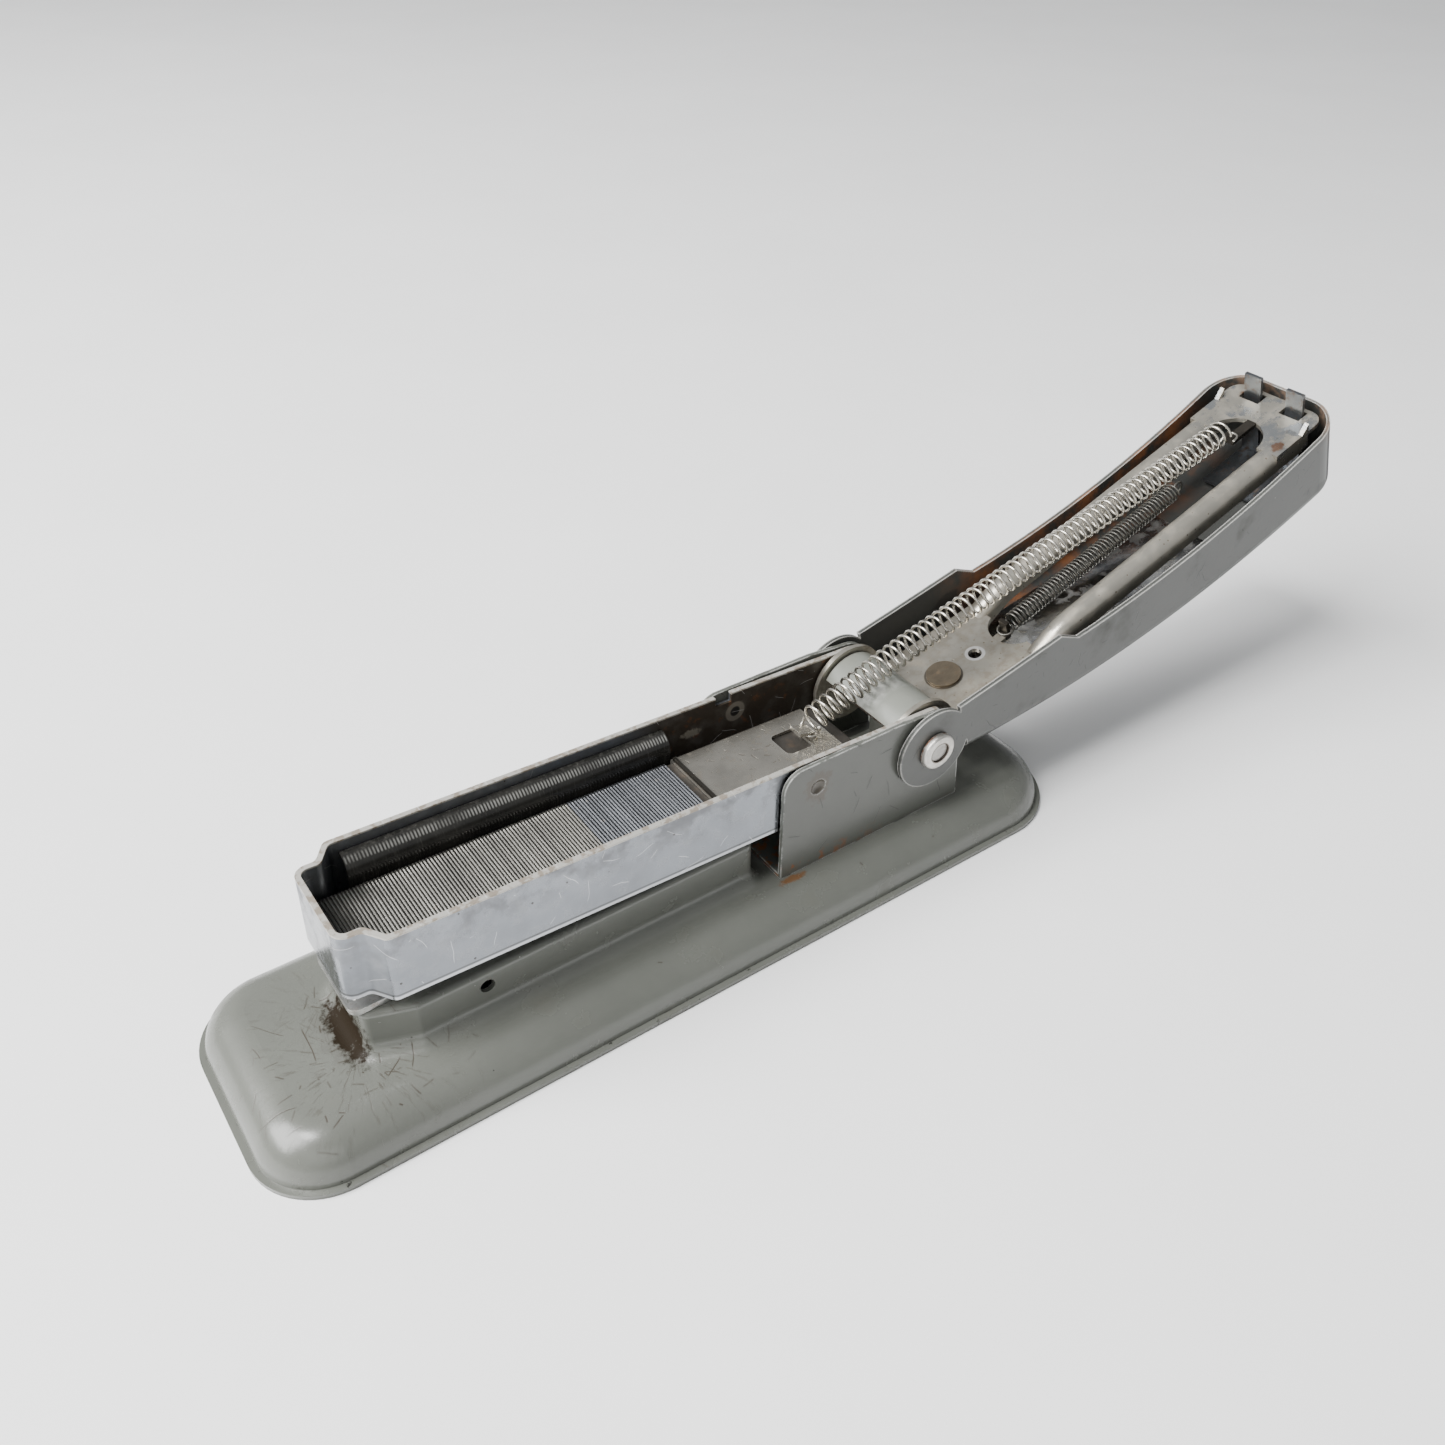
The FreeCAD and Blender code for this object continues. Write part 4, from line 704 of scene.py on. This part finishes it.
def dull_plating(colours):
    """Cream, frosted plating of the driver arm with dark patches, specks and rust at the head."""
    f = Finish("dull_plating", OPEN_ANGLE)
    f.mottle(f.clouds(9.0, 0.3, 0.7), colours.plating, 0.85, 1.05)
    warm = f.clouds(3.2, 0.45, 0.68)
    f.tint(warm, (0.60, 0.54, 0.44), 0.35)
    # Polished patches at the head: less rough, and their colour darkened bluish as a painted
    # reflection.
    polish_and_painted_reflection = f.times(f.span(f.x, HEAD_START, HEAD_FULL), f.clouds(4.2, 0.5, 0.58))
    f.tint(polish_and_painted_reflection, (0.22, 0.24, 0.26), 0.75)
    specks = f.specks(0.9, 0.17, 0.4)
    f.tint(specks, (0.12, 0.09, 0.06), 0.8)
    plate = f.times(f.span(f.x, 31.0, 27.0), f.clouds(1.6, 0.42, 0.62))
    f.tint(plate, (0.24, 0.21, 0.165), 0.6)
    rust = f.most(f.spot((84.5, -7.8, -2.4), (1.2, 0.9, 1), 2.2, 1.0),
                  f.spot((93.0, 5.0, -2.4), (1.2, 1.6, 1), 2.0, 0.9))
    f.tint(rust, colours.rust, 0.75)
    f.tint(f.edges(0.45, 2.2, 0.0003), (0.16, 0.12, 0.08), 0.55)
    upper = f.span(f.z, -6.5, -6.0)
    # A dark ring round the rivet, and a near-white ring on the lip of the pilot hole: a painted
    # highlight.
    for middle, low, high, tone in ((12.8, 2.95, 3.15, (0.06, 0.05, 0.04)),
                                    (19.8, 1.2, 1.65, (0.75, 0.74, 0.72))):
        ring_mask = f.between(f.away((middle, 0, 0), (1.0, 1.0, 0.0)), low, high, 0.12)
        f.tint(f.times(ring_mask, upper), tone, 0.8)
    middle_strip = f.math("LESS_THAN", f.math("ABSOLUTE", f.y), 0.95)
    # Painted shade: the middle strip near black where the spring hooks catch.
    hook_shade = f.most(f.between(f.x, 81.0, 87.6, 0.1), f.between(f.x, 25.9, 27.6, 0.1))
    f.tint(f.times(middle_strip, hook_shade), (0.035, 0.03, 0.024), 0.95)
    f.raise_by(specks, -0.6)
    f.raise_by(f.noise(f.place, 0.7, detail=3.0), 0.6)
    rough = f.span(f.most(warm, specks), 0.0, 1.0, 0.3, 0.46)
    return f.done(f.math("SUBTRACT", rough, f.math("MULTIPLY", polish_and_painted_reflection, 0.18)), 0.8)


def leaf_steel():
    """Polished leaf under the arm, blue-white, with one orange rust spot and dark smears."""
    f = Finish("leaf_steel", OPEN_ANGLE)
    f.colour = f.blend(f.clouds(7.0, 0.4, 0.6), (0.36, 0.37, 0.38), (0.80, 0.80, 0.78))
    smear = f.clouds(3.0, 0.5, 0.62)
    f.tint(smear, (0.25, 0.24, 0.22), 0.6)
    rust = f.spot((52.0, -7.5, -11.0), (1.5, 1.0, 1.2), 3.2, 1.0)
    f.tint(rust, (0.30, 0.085, 0.02), 0.95)
    f.tint(f.specks(1.2, 0.16, 0.2), (0.12, 0.07, 0.04), 0.7)
    f.raise_by(f.noise(f.place, 0.6), 0.6)
    rough = f.span(f.most(smear, rust), 0.0, 1.0, 0.16, 0.5)
    return f.done(rough, f.span(rust, 0.0, 1.0, 1.0, 0.1))


def steel(name, base, roughness, turn=0.0, stain=(0.16, 0.10, 0.06)):
    """Bare or plated steel of the small parts, a little stained."""
    f = Finish(name, turn)
    f.mottle(f.clouds(2.4, 0.3, 0.7), base, 0.75, 1.1)
    spots = f.clouds(1.1, 0.54, 0.66)
    f.tint(spots, stain, 0.5)
    f.tint(f.edges(0.4, 1.2, 0.00025), shade(base, 1.3), 0.5)
    f.raise_by(f.noise(f.place, 2.2, detail=3.0), 0.5)
    return f.done(f.span(spots, 0.0, 1.0, roughness, roughness + 0.22), 0.9)


def pivot_steel(colours):
    """Pivot rivet: steel face in a cream ring, with rust where it sits."""
    f = Finish("pivot_steel")
    f.colour = f.blend(f.clouds(1.6), (0.50, 0.48, 0.44), (0.66, 0.64, 0.60))
    squares = [f.math("MULTIPLY", part, part) for part in (f.x, f.z)]
    reach = f.math("SQRT", f.math("ADD", *squares))
    seat = f.span(f.math("ABSOLUTE", f.y), 13.15, 12.95)
    ragged = f.clouds(0.9, 0.4, 0.6)
    f.tint(f.span(reach, 1.7, 1.6), (0.33, 0.32, 0.30), 0.8)
    f.tint(f.between(reach, 1.62, 1.8, 0.12), (0.07, 0.05, 0.035), 0.85)
    f.tint(f.times(seat, ragged), colours.rust, 0.9)
    f.raise_by(ragged, -0.4)
    return f.done(f.span(ragged, 0.0, 1.0, 0.3, 0.5), 0.85)


def wire_finish(name, base, roughness):
    """Drawn wire with a slight tarnish."""
    f = Finish(name)
    f.mottle(f.clouds(1.5), base, 0.72, 1.12)
    f.tint(f.specks(0.9, 0.2, 0.2), (0.12, 0.09, 0.06), 0.6)
    f.raise_by(f.noise(f.place, 5.0), 0.3)
    rough = f.span(f.clouds(3.0), 0.0, 1.0, roughness, roughness + 0.15)
    return f.done(rough, 0.95, bump=0.00002)


# ---- places in the magazine and the arm ---------------------------------------------------------
def magazine_point(x, y, z):
    """A point of the magazine, in millimetres from the pivot with the magazine level."""
    return PIVOT + Matrix.Rotation(MAGAZINE_TILT, 3, "Y") @ (Vector((x, y, z)) * MM)


def arm_point(x, y, z):
    """A point of the arm or cover, in millimetres from the pivot with the cover laid along x."""
    return PIVOT + Matrix.Rotation(-OPEN_ANGLE, 3, "Y") @ (Vector((x, y, z)) * MM)


# ---- geometry node trees ------------------------------------------------------------------------
def spring_tree():
    """Winds a wire round the curve that it is given."""
    sockets = [("Centre line", "NodeSocketGeometry", None), ("Turns", "NodeSocketInt", 20),
               ("Points per turn", "NodeSocketInt", 18), ("Turn radius", FLOAT, 0.002),
               ("Wire radius", FLOAT, 0.0002), ("Finish", "NodeSocketMaterial", None)]
    tree, g, given, result = new_group("Wound spring", "GeometryNodeTree", sockets, "Spring",
                                       "NodeSocketGeometry")
    points = g.math("ADD", g.math("MULTIPLY", given["Turns"], given["Points per turn"]), 1.0)
    line = g.add("GeometryNodeResampleCurve",
                 {"Curve": given["Centre line"], "Count": points}).outputs[0]
    index = g.add("GeometryNodeInputIndex").outputs[0]
    angle = g.math("MULTIPLY", g.math("DIVIDE", index, given["Points per turn"]), 2 * math.pi)
    normal = g.add("GeometryNodeInputNormal").outputs[0]
    tangent = g.add("GeometryNodeInputTangent").outputs[0]
    across = g.vector("CROSS_PRODUCT", tangent, normal)
    first = g.scaled(normal, g.math("COSINE", angle))
    offset = g.vector("ADD", first, g.scaled(across, g.math("SINE", angle)))
    wound = g.add("GeometryNodeSetPosition",
                  {"Geometry": line, "Offset": g.scaled(offset, given["Turn radius"])}).outputs[0]
    section = g.add("GeometryNodeCurvePrimitiveCircle",
                    {"Resolution": 8, "Radius": given["Wire radius"]})
    solid = g.add("GeometryNodeCurveToMesh", {"Curve": wound, "Profile Curve": section.outputs[0],
                                              "Fill Caps": True}).outputs[0]
    smooth = g.add("GeometryNodeSetShadeSmooth",
                   {"Geometry": solid, "Shade Smooth": True}).outputs[0]
    g.give_back(result, smooth, given["Finish"])
    return tree


def strip_tree():
    """Lays copies of one staple in a row, each a little out of line."""
    sockets = [("Staple", "NodeSocketGeometry", None), ("Count", "NodeSocketInt", 10),
               ("Step", VECTOR, (0.0005, 0, 0)), ("Start", VECTOR, (0, 0, 0)),
               ("Lean", FLOAT, 0.0), ("Unevenness", FLOAT, 0.00003),
               ("Seed", "NodeSocketInt", 1), ("Finish", "NodeSocketMaterial", None)]
    tree, g, given, result = new_group("Staple strip", "GeometryNodeTree", sockets, "Strip",
                                       "NodeSocketGeometry")
    inputs = {"Count": given["Count"], "Start Location": given["Start"], "Offset": given["Step"]}
    row = g.add("GeometryNodeMeshLine", inputs, mode="OFFSET").outputs[0]
    spread = g.add("FunctionNodeRandomValue", data_type="FLOAT_VECTOR")
    g.feed(spread.inputs[0], (-1.0, -1.0, -1.0))
    g.feed(spread.inputs[1], (1.0, 1.0, 1.0))
    g.feed(spread.inputs["Seed"], given["Seed"])
    loose = g.vector("MULTIPLY", g.scaled(spread.outputs[0], given["Unevenness"]), (0.0, 1.0, 0.6))
    uneven = g.add("GeometryNodeSetPosition", {"Geometry": row, "Offset": loose}).outputs[0]
    lean = g.join(0.0, given["Lean"], 0.0)
    laid = g.add("GeometryNodeInstanceOnPoints",
                 {"Points": uneven, "Instance": given["Staple"], "Rotation": lean}).outputs[0]
    g.give_back(result, laid, given["Finish"])
    return tree


TREES = {}
POINTS_PER_TURN = 18


def linked(name, data):
    """A new object in the scene."""
    thing = bpy.data.objects.new(name, data)
    bpy.context.scene.collection.objects.link(thing)
    return thing


def baked(source):
    """The evaluated mesh of an object, which is then removed."""
    bpy.context.view_layer.update()
    depsgraph = bpy.context.evaluated_depsgraph_get()
    mesh = bpy.data.meshes.new_from_object(source.evaluated_get(depsgraph), depsgraph=depsgraph)
    bpy.data.objects.remove(source)
    return mesh


def made_by(tree, source, values, name):
    """The plain mesh that a tree makes of a source object; the source is removed."""
    modifier = source.modifiers.new("make", "NODES")
    modifier.node_group = tree
    for item in tree.interface.items_tree:
        if item.item_type == "SOCKET" and item.in_out == "INPUT" and item.name in values:
            modifier[item.identifier] = values[item.name]
    return linked(name, baked(source))


def route(points):
    """A smooth open curve object that follows the points."""
    curve = bpy.data.curves.new("route", "CURVE")
    curve.dimensions = "3D"
    curve.resolution_u = 24
    spline = curve.splines.new("NURBS")
    spline.points.add(len(points) - 1)
    for target, point in zip(spline.points, points):
        target.co = (*point, 1.0)
    spline.order_u = 3
    spline.use_endpoint_u = True
    return linked("route", curve)


def wire(points, radius, material, name):
    """A bent wire along the points."""
    holder = route(points)
    holder.data.bevel_depth = radius
    holder.data.bevel_resolution = 2
    holder.data.use_fill_caps = True
    mesh = baked(holder)
    mesh.materials.clear()
    mesh.materials.append(material)
    mesh.shade_smooth()
    return linked(name, mesh)


def joined(pieces, name):
    """Several meshes made one."""
    with bpy.context.temp_override(active_object=pieces[0], selected_editable_objects=pieces):
        bpy.ops.object.join()
    pieces[0].name = name
    return pieces[0]


def ring(centre, first, second, radius, start, sweep, steps):
    """Points round a circle spanned by two directions."""
    angles = [start + sweep * step / (steps - 1) for step in range(steps)]
    return [centre + first * (math.cos(angle) * radius) + second * (math.sin(angle) * radius)
            for angle in angles]


def coil(points, turns, radius, wire_diameter, material, name):
    """A wound spring along the points, with its outer radius."""
    values = {"Turns": turns, "Points per turn": POINTS_PER_TURN, "Finish": material,
              "Turn radius": radius - wire_diameter / 2, "Wire radius": wire_diameter / 2}
    return made_by(TREES["spring"], route(points), values, name)


# ---- pieces -------------------------------------------------------------------------------------
def follower_route():
    """Centre line of the long spring: pusher hook, over the guard, hook at the end of the slot."""
    start = magazine_point(-15.2, 0.0, 3.54)
    over = PIVOT + Vector((1.5, 0.4, GUARD_RADIUS + 3.45)) * MM
    end = arm_point(81.1, 1.2, -0.8)
    before = over + (start - over).normalized() * 9.0 * MM
    after = over + (end - over).normalized() * 9.0 * MM
    return [start, before, over, after, end]


def make_follower_spring(sizes, material):
    points = follower_route()
    spring = coil(points, sizes.follower_turns, sizes.follower_radius, sizes.follower_wire,
                  material, "long_spring")
    half = sizes.follower_wire / 2
    near_bend = [magazine_point(*point) for point in (
        (-14.9, 1.9, 3.0), (-15.2, 1.75, 1.8), (-16.3, 1.6, 1.7), (-16.9, 0.0, 1.7),
        (-16.3, -1.6, 1.7), (-15.3, -1.7, 1.7))]
    near_hook = wire(near_bend, half, material, "near_hook")
    far_bend = [arm_point(*point) for point in (
        (80.9, 1.2, -2.9), (81.9, 1.2, -2.2), (82.8, 0.9, -1.9), (83.0, 0.0, -1.9),
        (82.7, -1.1, -1.9), (81.4, -1.2, -1.9))]
    far_hook = wire(far_bend, half, material, "far_hook")
    spring = joined([spring, near_hook, far_hook], "long_spring")
    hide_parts("follower_spring")
    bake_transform(spring)
    return spring


def make_return_spring(sizes, material):
    near, far = arm_point(28.2, 0.0, -3.8), arm_point(67.4, 0.0, -3.8)
    run = [near + (far - near) * share for share in (0.0, 0.33, 0.67, 1.0)]
    spring = coil(run, sizes.return_turns, sizes.return_radius, sizes.return_wire,
                  material, "return_coil")
    half = sizes.return_wire / 2
    on = (far - near).normalized()
    up = on.cross(Vector((0, -1, 0)))
    across = Vector((0, 1, 0))
    eye = ring(near - on * 1.35 * MM + up * 0.5 * MM, on, across, 1.35 * MM, 0.6, 5.6, 12)
    hook = wire([near + across * 1.2 * MM] + eye, half, material, "return_eye")
    tail_eye = ring(far + on * 1.1 * MM, on, up, 1.1 * MM, 3.5, 5.0, 12)
    tail = wire([far - up * 0.9 * MM] + tail_eye, half, material, "return_tail")
    spring = joined([spring, hook, tail], "return_coil")
    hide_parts("return_spring")
    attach(spring, "arm")
    return spring


def make_anvil_spring(sizes, material):
    low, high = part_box("anvil_spring")
    centre = (low + high) / 2
    foot = Vector((centre.x, centre.y, low.z + sizes.anvil_wire / 2))
    head = Vector((centre.x, centre.y, high.z - sizes.anvil_wire / 2))
    run = [foot + (head - foot) * share for share in (0.0, 0.33, 0.67, 1.0)]
    radius = (high.x - low.x) / 2
    spring = coil(run, sizes.anvil_turns, radius, sizes.anvil_wire, material, "anvil_coil")
    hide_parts("anvil_spring")
    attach(spring, "base")
    return spring


STRIP_DROP = 0.02 * MM
WIRE_SIDES = 6
CORNER_STEPS = 4


def staple_mesh(wire_width, corner):
    """One staple standing at the origin: crown on top at z = 0 and both legs down."""
    half = STAPLE_CROWN / 2 - wire_width / 2
    top = -wire_width / 2
    path = [(-half, -STAPLE_LEG)]
    for side, start in ((-1, math.pi), (1, math.pi / 2)):
        for step in range(CORNER_STEPS):
            angle = start - step * math.pi / 2 / (CORNER_STEPS - 1)
            path.append((side * (half - corner) + corner * math.cos(angle),
                         top - corner + corner * math.sin(angle)))
    path.append((half, -STAPLE_LEG))
    radius = wire_width / 2
    sides = WIRE_SIDES
    vertices = []
    for number, (y, z) in enumerate(path):
        before = Vector(path[max(0, number - 1)])
        after = Vector(path[min(len(path) - 1, number + 1)])
        run = (after - before).normalized()
        outward = Vector((-run.y, run.x))
        for k in range(sides):
            turn = 2 * math.pi * (k + 0.5) / sides
            lift = math.sin(turn) * radius
            vertices.append((math.cos(turn) * radius, y + outward.x * lift, z + outward.y * lift))
    faces = []
    for number in range(len(path) - 1):
        first, second = number * sides, (number + 1) * sides
        for k in range(sides):
            after = (k + 1) % sides
            faces.append((first + k, second + k, second + after, first + after))
    faces.append(tuple(range(sides)))
    faces.append(tuple(reversed(range(len(vertices) - sides, len(vertices)))))
    mesh = bpy.data.meshes.new("staple")
    mesh.from_pydata(vertices, [], faces)
    mesh.update()
    return linked("staple", mesh)


def make_strip(node, sizes, material, name, seed):
    low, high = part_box(node)
    run = Vector((math.cos(MAGAZINE_TILT), 0, -math.sin(MAGAZINE_TILT)))
    leaning = STAPLE_LEG * math.sin(MAGAZINE_TILT)
    staples = int(round((high.x - low.x - leaning) / sizes.pitch / math.cos(MAGAZINE_TILT)))
    start = Vector((low.x + leaning, 0, high.z - STRIP_DROP)) + run * sizes.pitch / 2
    values = {"Count": staples, "Step": run * sizes.pitch, "Start": start, "Lean": MAGAZINE_TILT,
              "Unevenness": sizes.jitter, "Seed": seed, "Finish": material}
    strip = made_by(TREES["strip"], staple_mesh(sizes.wire, sizes.corner), values, name)
    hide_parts(node)
    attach(strip, "magazine")
    return strip


FLOOR_SIZE = 4.0
SKY_TINT = (0.95, 0.97, 1.0, 1.0)
LIGHT_AIM = Vector((0.0, 0.0, 0.02))


def make_floor(settings):
    half = FLOOR_SIZE / 2
    corners = [(-half, -half, 0), (half, -half, 0), (half, half, 0), (-half, half, 0)]
    mesh = bpy.data.meshes.new("floor")
    mesh.from_pydata(corners, [], [(0, 1, 2, 3)])
    floor = linked("floor", mesh)
    f = Finish("pale_floor")
    f.mottle(f.clouds(60.0), settings.floor, 0.97, 1.0)
    mesh.materials.append(f.done(0.45, 0.0))


def make_light(name, size, watts, place):
    light = bpy.data.lights.new(name, "AREA")
    light.shape = "RECTANGLE"
    light.size, light.size_y = size
    light.energy = watts
    holder = linked(name, light)
    holder.location = place
    holder.rotation_mode = "QUATERNION"
    holder.rotation_quaternion = (LIGHT_AIM - Vector(place)).to_track_quat("-Z", "Y")


CAMERA_PLACE = Vector((-0.110269, -0.122058, 0.148516))
CAMERA_HEADING = 0.954
CAMERA_DROP = 0.664
CAMERA_ROLL = 0.011


def make_camera(lens):
    camera = bpy.data.cameras.new("camera")
    camera.lens = lens
    camera.sensor_width = 36.0
    camera.clip_start = 0.005
    holder = linked("camera", camera)
    bpy.context.scene.camera = holder
    ahead = Vector((math.cos(CAMERA_HEADING) * math.cos(CAMERA_DROP),
                    math.sin(CAMERA_HEADING) * math.cos(CAMERA_DROP), -math.sin(CAMERA_DROP)))
    right = Vector((math.sin(CAMERA_HEADING), -math.cos(CAMERA_HEADING), 0))
    up = right.cross(ahead)
    level = right * math.cos(CAMERA_ROLL) + up * math.sin(CAMERA_ROLL)
    upright = up * math.cos(CAMERA_ROLL) - right * math.sin(CAMERA_ROLL)
    turned = Matrix((level, upright, -ahead)).transposed()
    holder.matrix_world = Matrix.Translation(CAMERA_PLACE) @ turned.to_4x4()


# ---- operators ----------------------------------------------------------------------------------
class StaplerOperator:
    """What every stapler operator shares."""

    bl_options = {"REGISTER", "UNDO"}

    def colours(self):
        return bpy.context.scene.stapler_colours


class STAPLER_OT_base(StaplerOperator, bpy.types.Operator):
    """Enamel the base pan, the hinge bracket and the guard"""

    bl_idname = "stapler.base"
    bl_label = "Base"

    def execute(self, context):
        assign(base_enamel(self.colours()), "base_pan")
        assign(bracket_enamel(self.colours()), "hinge_bracket")
        assign(guard_enamel(self.colours()), "pivot_guard")
        return {"FINISHED"}


class STAPLER_OT_cover(StaplerOperator, bpy.types.Operator):
    """Enamel the cover"""

    bl_idname = "stapler.cover"
    bl_label = "Cover"

    def execute(self, context):
        assign(cover_enamel(self.colours()), "cover_shell")
        return {"FINISHED"}


class STAPLER_OT_magazine(StaplerOperator, bpy.types.Operator):
    """Plate the magazine and black its guides"""

    bl_idname = "stapler.magazine"
    bl_label = "Magazine"

    def execute(self, context):
        assign(chrome(self.colours()), "magazine_channel")
        assign(black_steel(), "side_guide_left", "side_guide_right")
        assign(plated_rail(), "core_rail")
        return {"FINISHED"}


class STAPLER_OT_staples(StaplerOperator, bpy.types.Operator):
    """Lay the staples of both strips"""

    bl_idname = "stapler.staples"
    bl_label = "Staples"

    def execute(self, context):
        sizes = context.scene.stapler_staples
        front = staple_finish("staple_wire", self.colours().staple)
        rear = staple_finish("old_staple_wire", self.colours().old_staple)
        make_strip("staple_strip_front", sizes, front, "front_staples", 3)
        make_strip("staple_strip_rear", sizes, rear, "rear_staples", 8)
        return {"FINISHED"}


class STAPLER_OT_pusher(StaplerOperator, bpy.types.Operator):
    """Plate the pusher"""

    bl_idname = "stapler.pusher"
    bl_label = "Pusher"

    def execute(self, context):
        assign(nickel(self.colours()), "pusher")
        return {"FINISHED"}


class STAPLER_OT_springs(StaplerOperator, bpy.types.Operator):
    """Wind the long spring, the return spring and the anvil spring"""

    bl_idname = "stapler.springs"
    bl_label = "Springs"

    def execute(self, context):
        sizes = context.scene.stapler_springs
        bright = wire_finish("bright_wire", self.colours().wire, 0.2)
        # The dark wire is painted shade for the return spring in the slot; the anvil spring gets it
        # too.
        dark = wire_finish("dark_wire", self.colours().dark_wire, 0.32)
        make_follower_spring(sizes, bright)
        make_return_spring(sizes, dark)
        make_anvil_spring(sizes, dark)
        assign(black_steel(), "lift_spring")
        return {"FINISHED"}


class STAPLER_OT_arm(StaplerOperator, bpy.types.Operator):
    """Plate the driver arm and polish its leaf and blade"""

    bl_idname = "stapler.arm"
    bl_label = "Driver arm"

    def execute(self, context):
        assign(dull_plating(self.colours()), "driver_arm")
        assign(leaf_steel(), "arm_leaf")
        assign(steel("blade_steel", (0.17, 0.18, 0.19), 0.28, OPEN_ANGLE), "driver_blade")
        return {"FINISHED"}


class STAPLER_OT_rivets(StaplerOperator, bpy.types.Operator):
    """Finish the rivets and the anvil"""

    bl_idname = "stapler.rivets"
    bl_label = "Rivets and anvil"

    def execute(self, context):
        assign(pivot_steel(self.colours()), "pivot_rivet")
        brown = steel("brown_rivet", (0.26, 0.215, 0.155), 0.3, OPEN_ANGLE, (0.22, 0.15, 0.09))
        assign(brown, "arm_rivet")
        bare = steel("bare_rivets", (0.45, 0.44, 0.42), 0.35)
        assign(bare, "bracket_rivet_front", "bracket_rivet_rear", "lift_spring_rivet",
               "blade_rivet", "anvil_pin")
        assign(steel("anvil_plate", (0.55, 0.55, 0.53), 0.3), "anvil_plate")
        return {"FINISHED"}


class STAPLER_OT_stage(StaplerOperator, bpy.types.Operator):
    """Set the floor, the lights and the camera"""

    bl_idname = "stapler.stage"
    bl_label = "Studio"

    def execute(self, context):
        settings = context.scene.stapler_studio
        make_camera(settings.lens)
        make_floor(settings)
        world = bpy.data.worlds.new("studio")
        world.use_nodes = True
        backdrop = world.node_tree.nodes["Background"]
        backdrop.inputs["Color"].default_value = SKY_TINT
        backdrop.inputs["Strength"].default_value = settings.sky
        context.scene.world = world
        make_light("key", (0.8, 0.7), settings.key_power, (-0.80, 0.22, 0.75))
        make_light("window", (0.3, 0.2), settings.window_power, (-0.42, 0.02, 0.95))
        make_light("fill", (0.8, 0.5), settings.fill_power, (-0.45, -0.75, 0.55))
        return {"FINISHED"}


class STAPLER_PT_panel(bpy.types.Panel):
    """Lists the stapler's operators and settings."""

    bl_label = "Stapler"
    bl_idname = "STAPLER_PT_panel"
    bl_space_type = "VIEW_3D"
    bl_region_type = "UI"
    bl_category = "Stapler"

    def draw(self, context):
        for operator in OPERATORS:
            self.layout.operator(operator.bl_idname)
        for name in SETTINGS:
            settings = getattr(context.scene, name)
            box = self.layout.box()
            for label in settings.__annotations__:
                box.prop(settings, label)


OPERATORS = (STAPLER_OT_stage, STAPLER_OT_base, STAPLER_OT_cover, STAPLER_OT_magazine,
             STAPLER_OT_staples, STAPLER_OT_pusher, STAPLER_OT_springs, STAPLER_OT_arm,
             STAPLER_OT_rivets)
SETTINGS = {"stapler_springs": StaplerSprings, "stapler_staples": StaplerStaples,
            "stapler_colours": StaplerColours, "stapler_studio": StaplerStudio}


def register():
    for group in SETTINGS.values():
        bpy.utils.register_class(group)
    for name, group in SETTINGS.items():
        setattr(bpy.types.Scene, name, bpy.props.PointerProperty(type=group))
    for operator in OPERATORS:
        bpy.utils.register_class(operator)
    bpy.utils.register_class(STAPLER_PT_panel)


def unregister():
    bpy.utils.unregister_class(STAPLER_PT_panel)
    for operator in reversed(OPERATORS):
        bpy.utils.unregister_class(operator)
    for name, group in SETTINGS.items():
        delattr(bpy.types.Scene, name)
        bpy.utils.unregister_class(group)


def main():
    register()
    build_effects()
    TREES["spring"] = spring_tree()
    TREES["strip"] = strip_tree()
    for operator in OPERATORS:
        family, action = operator.bl_idname.split(".")
        getattr(getattr(bpy.ops, family), action)()


if __name__ == "__main__":
    main()
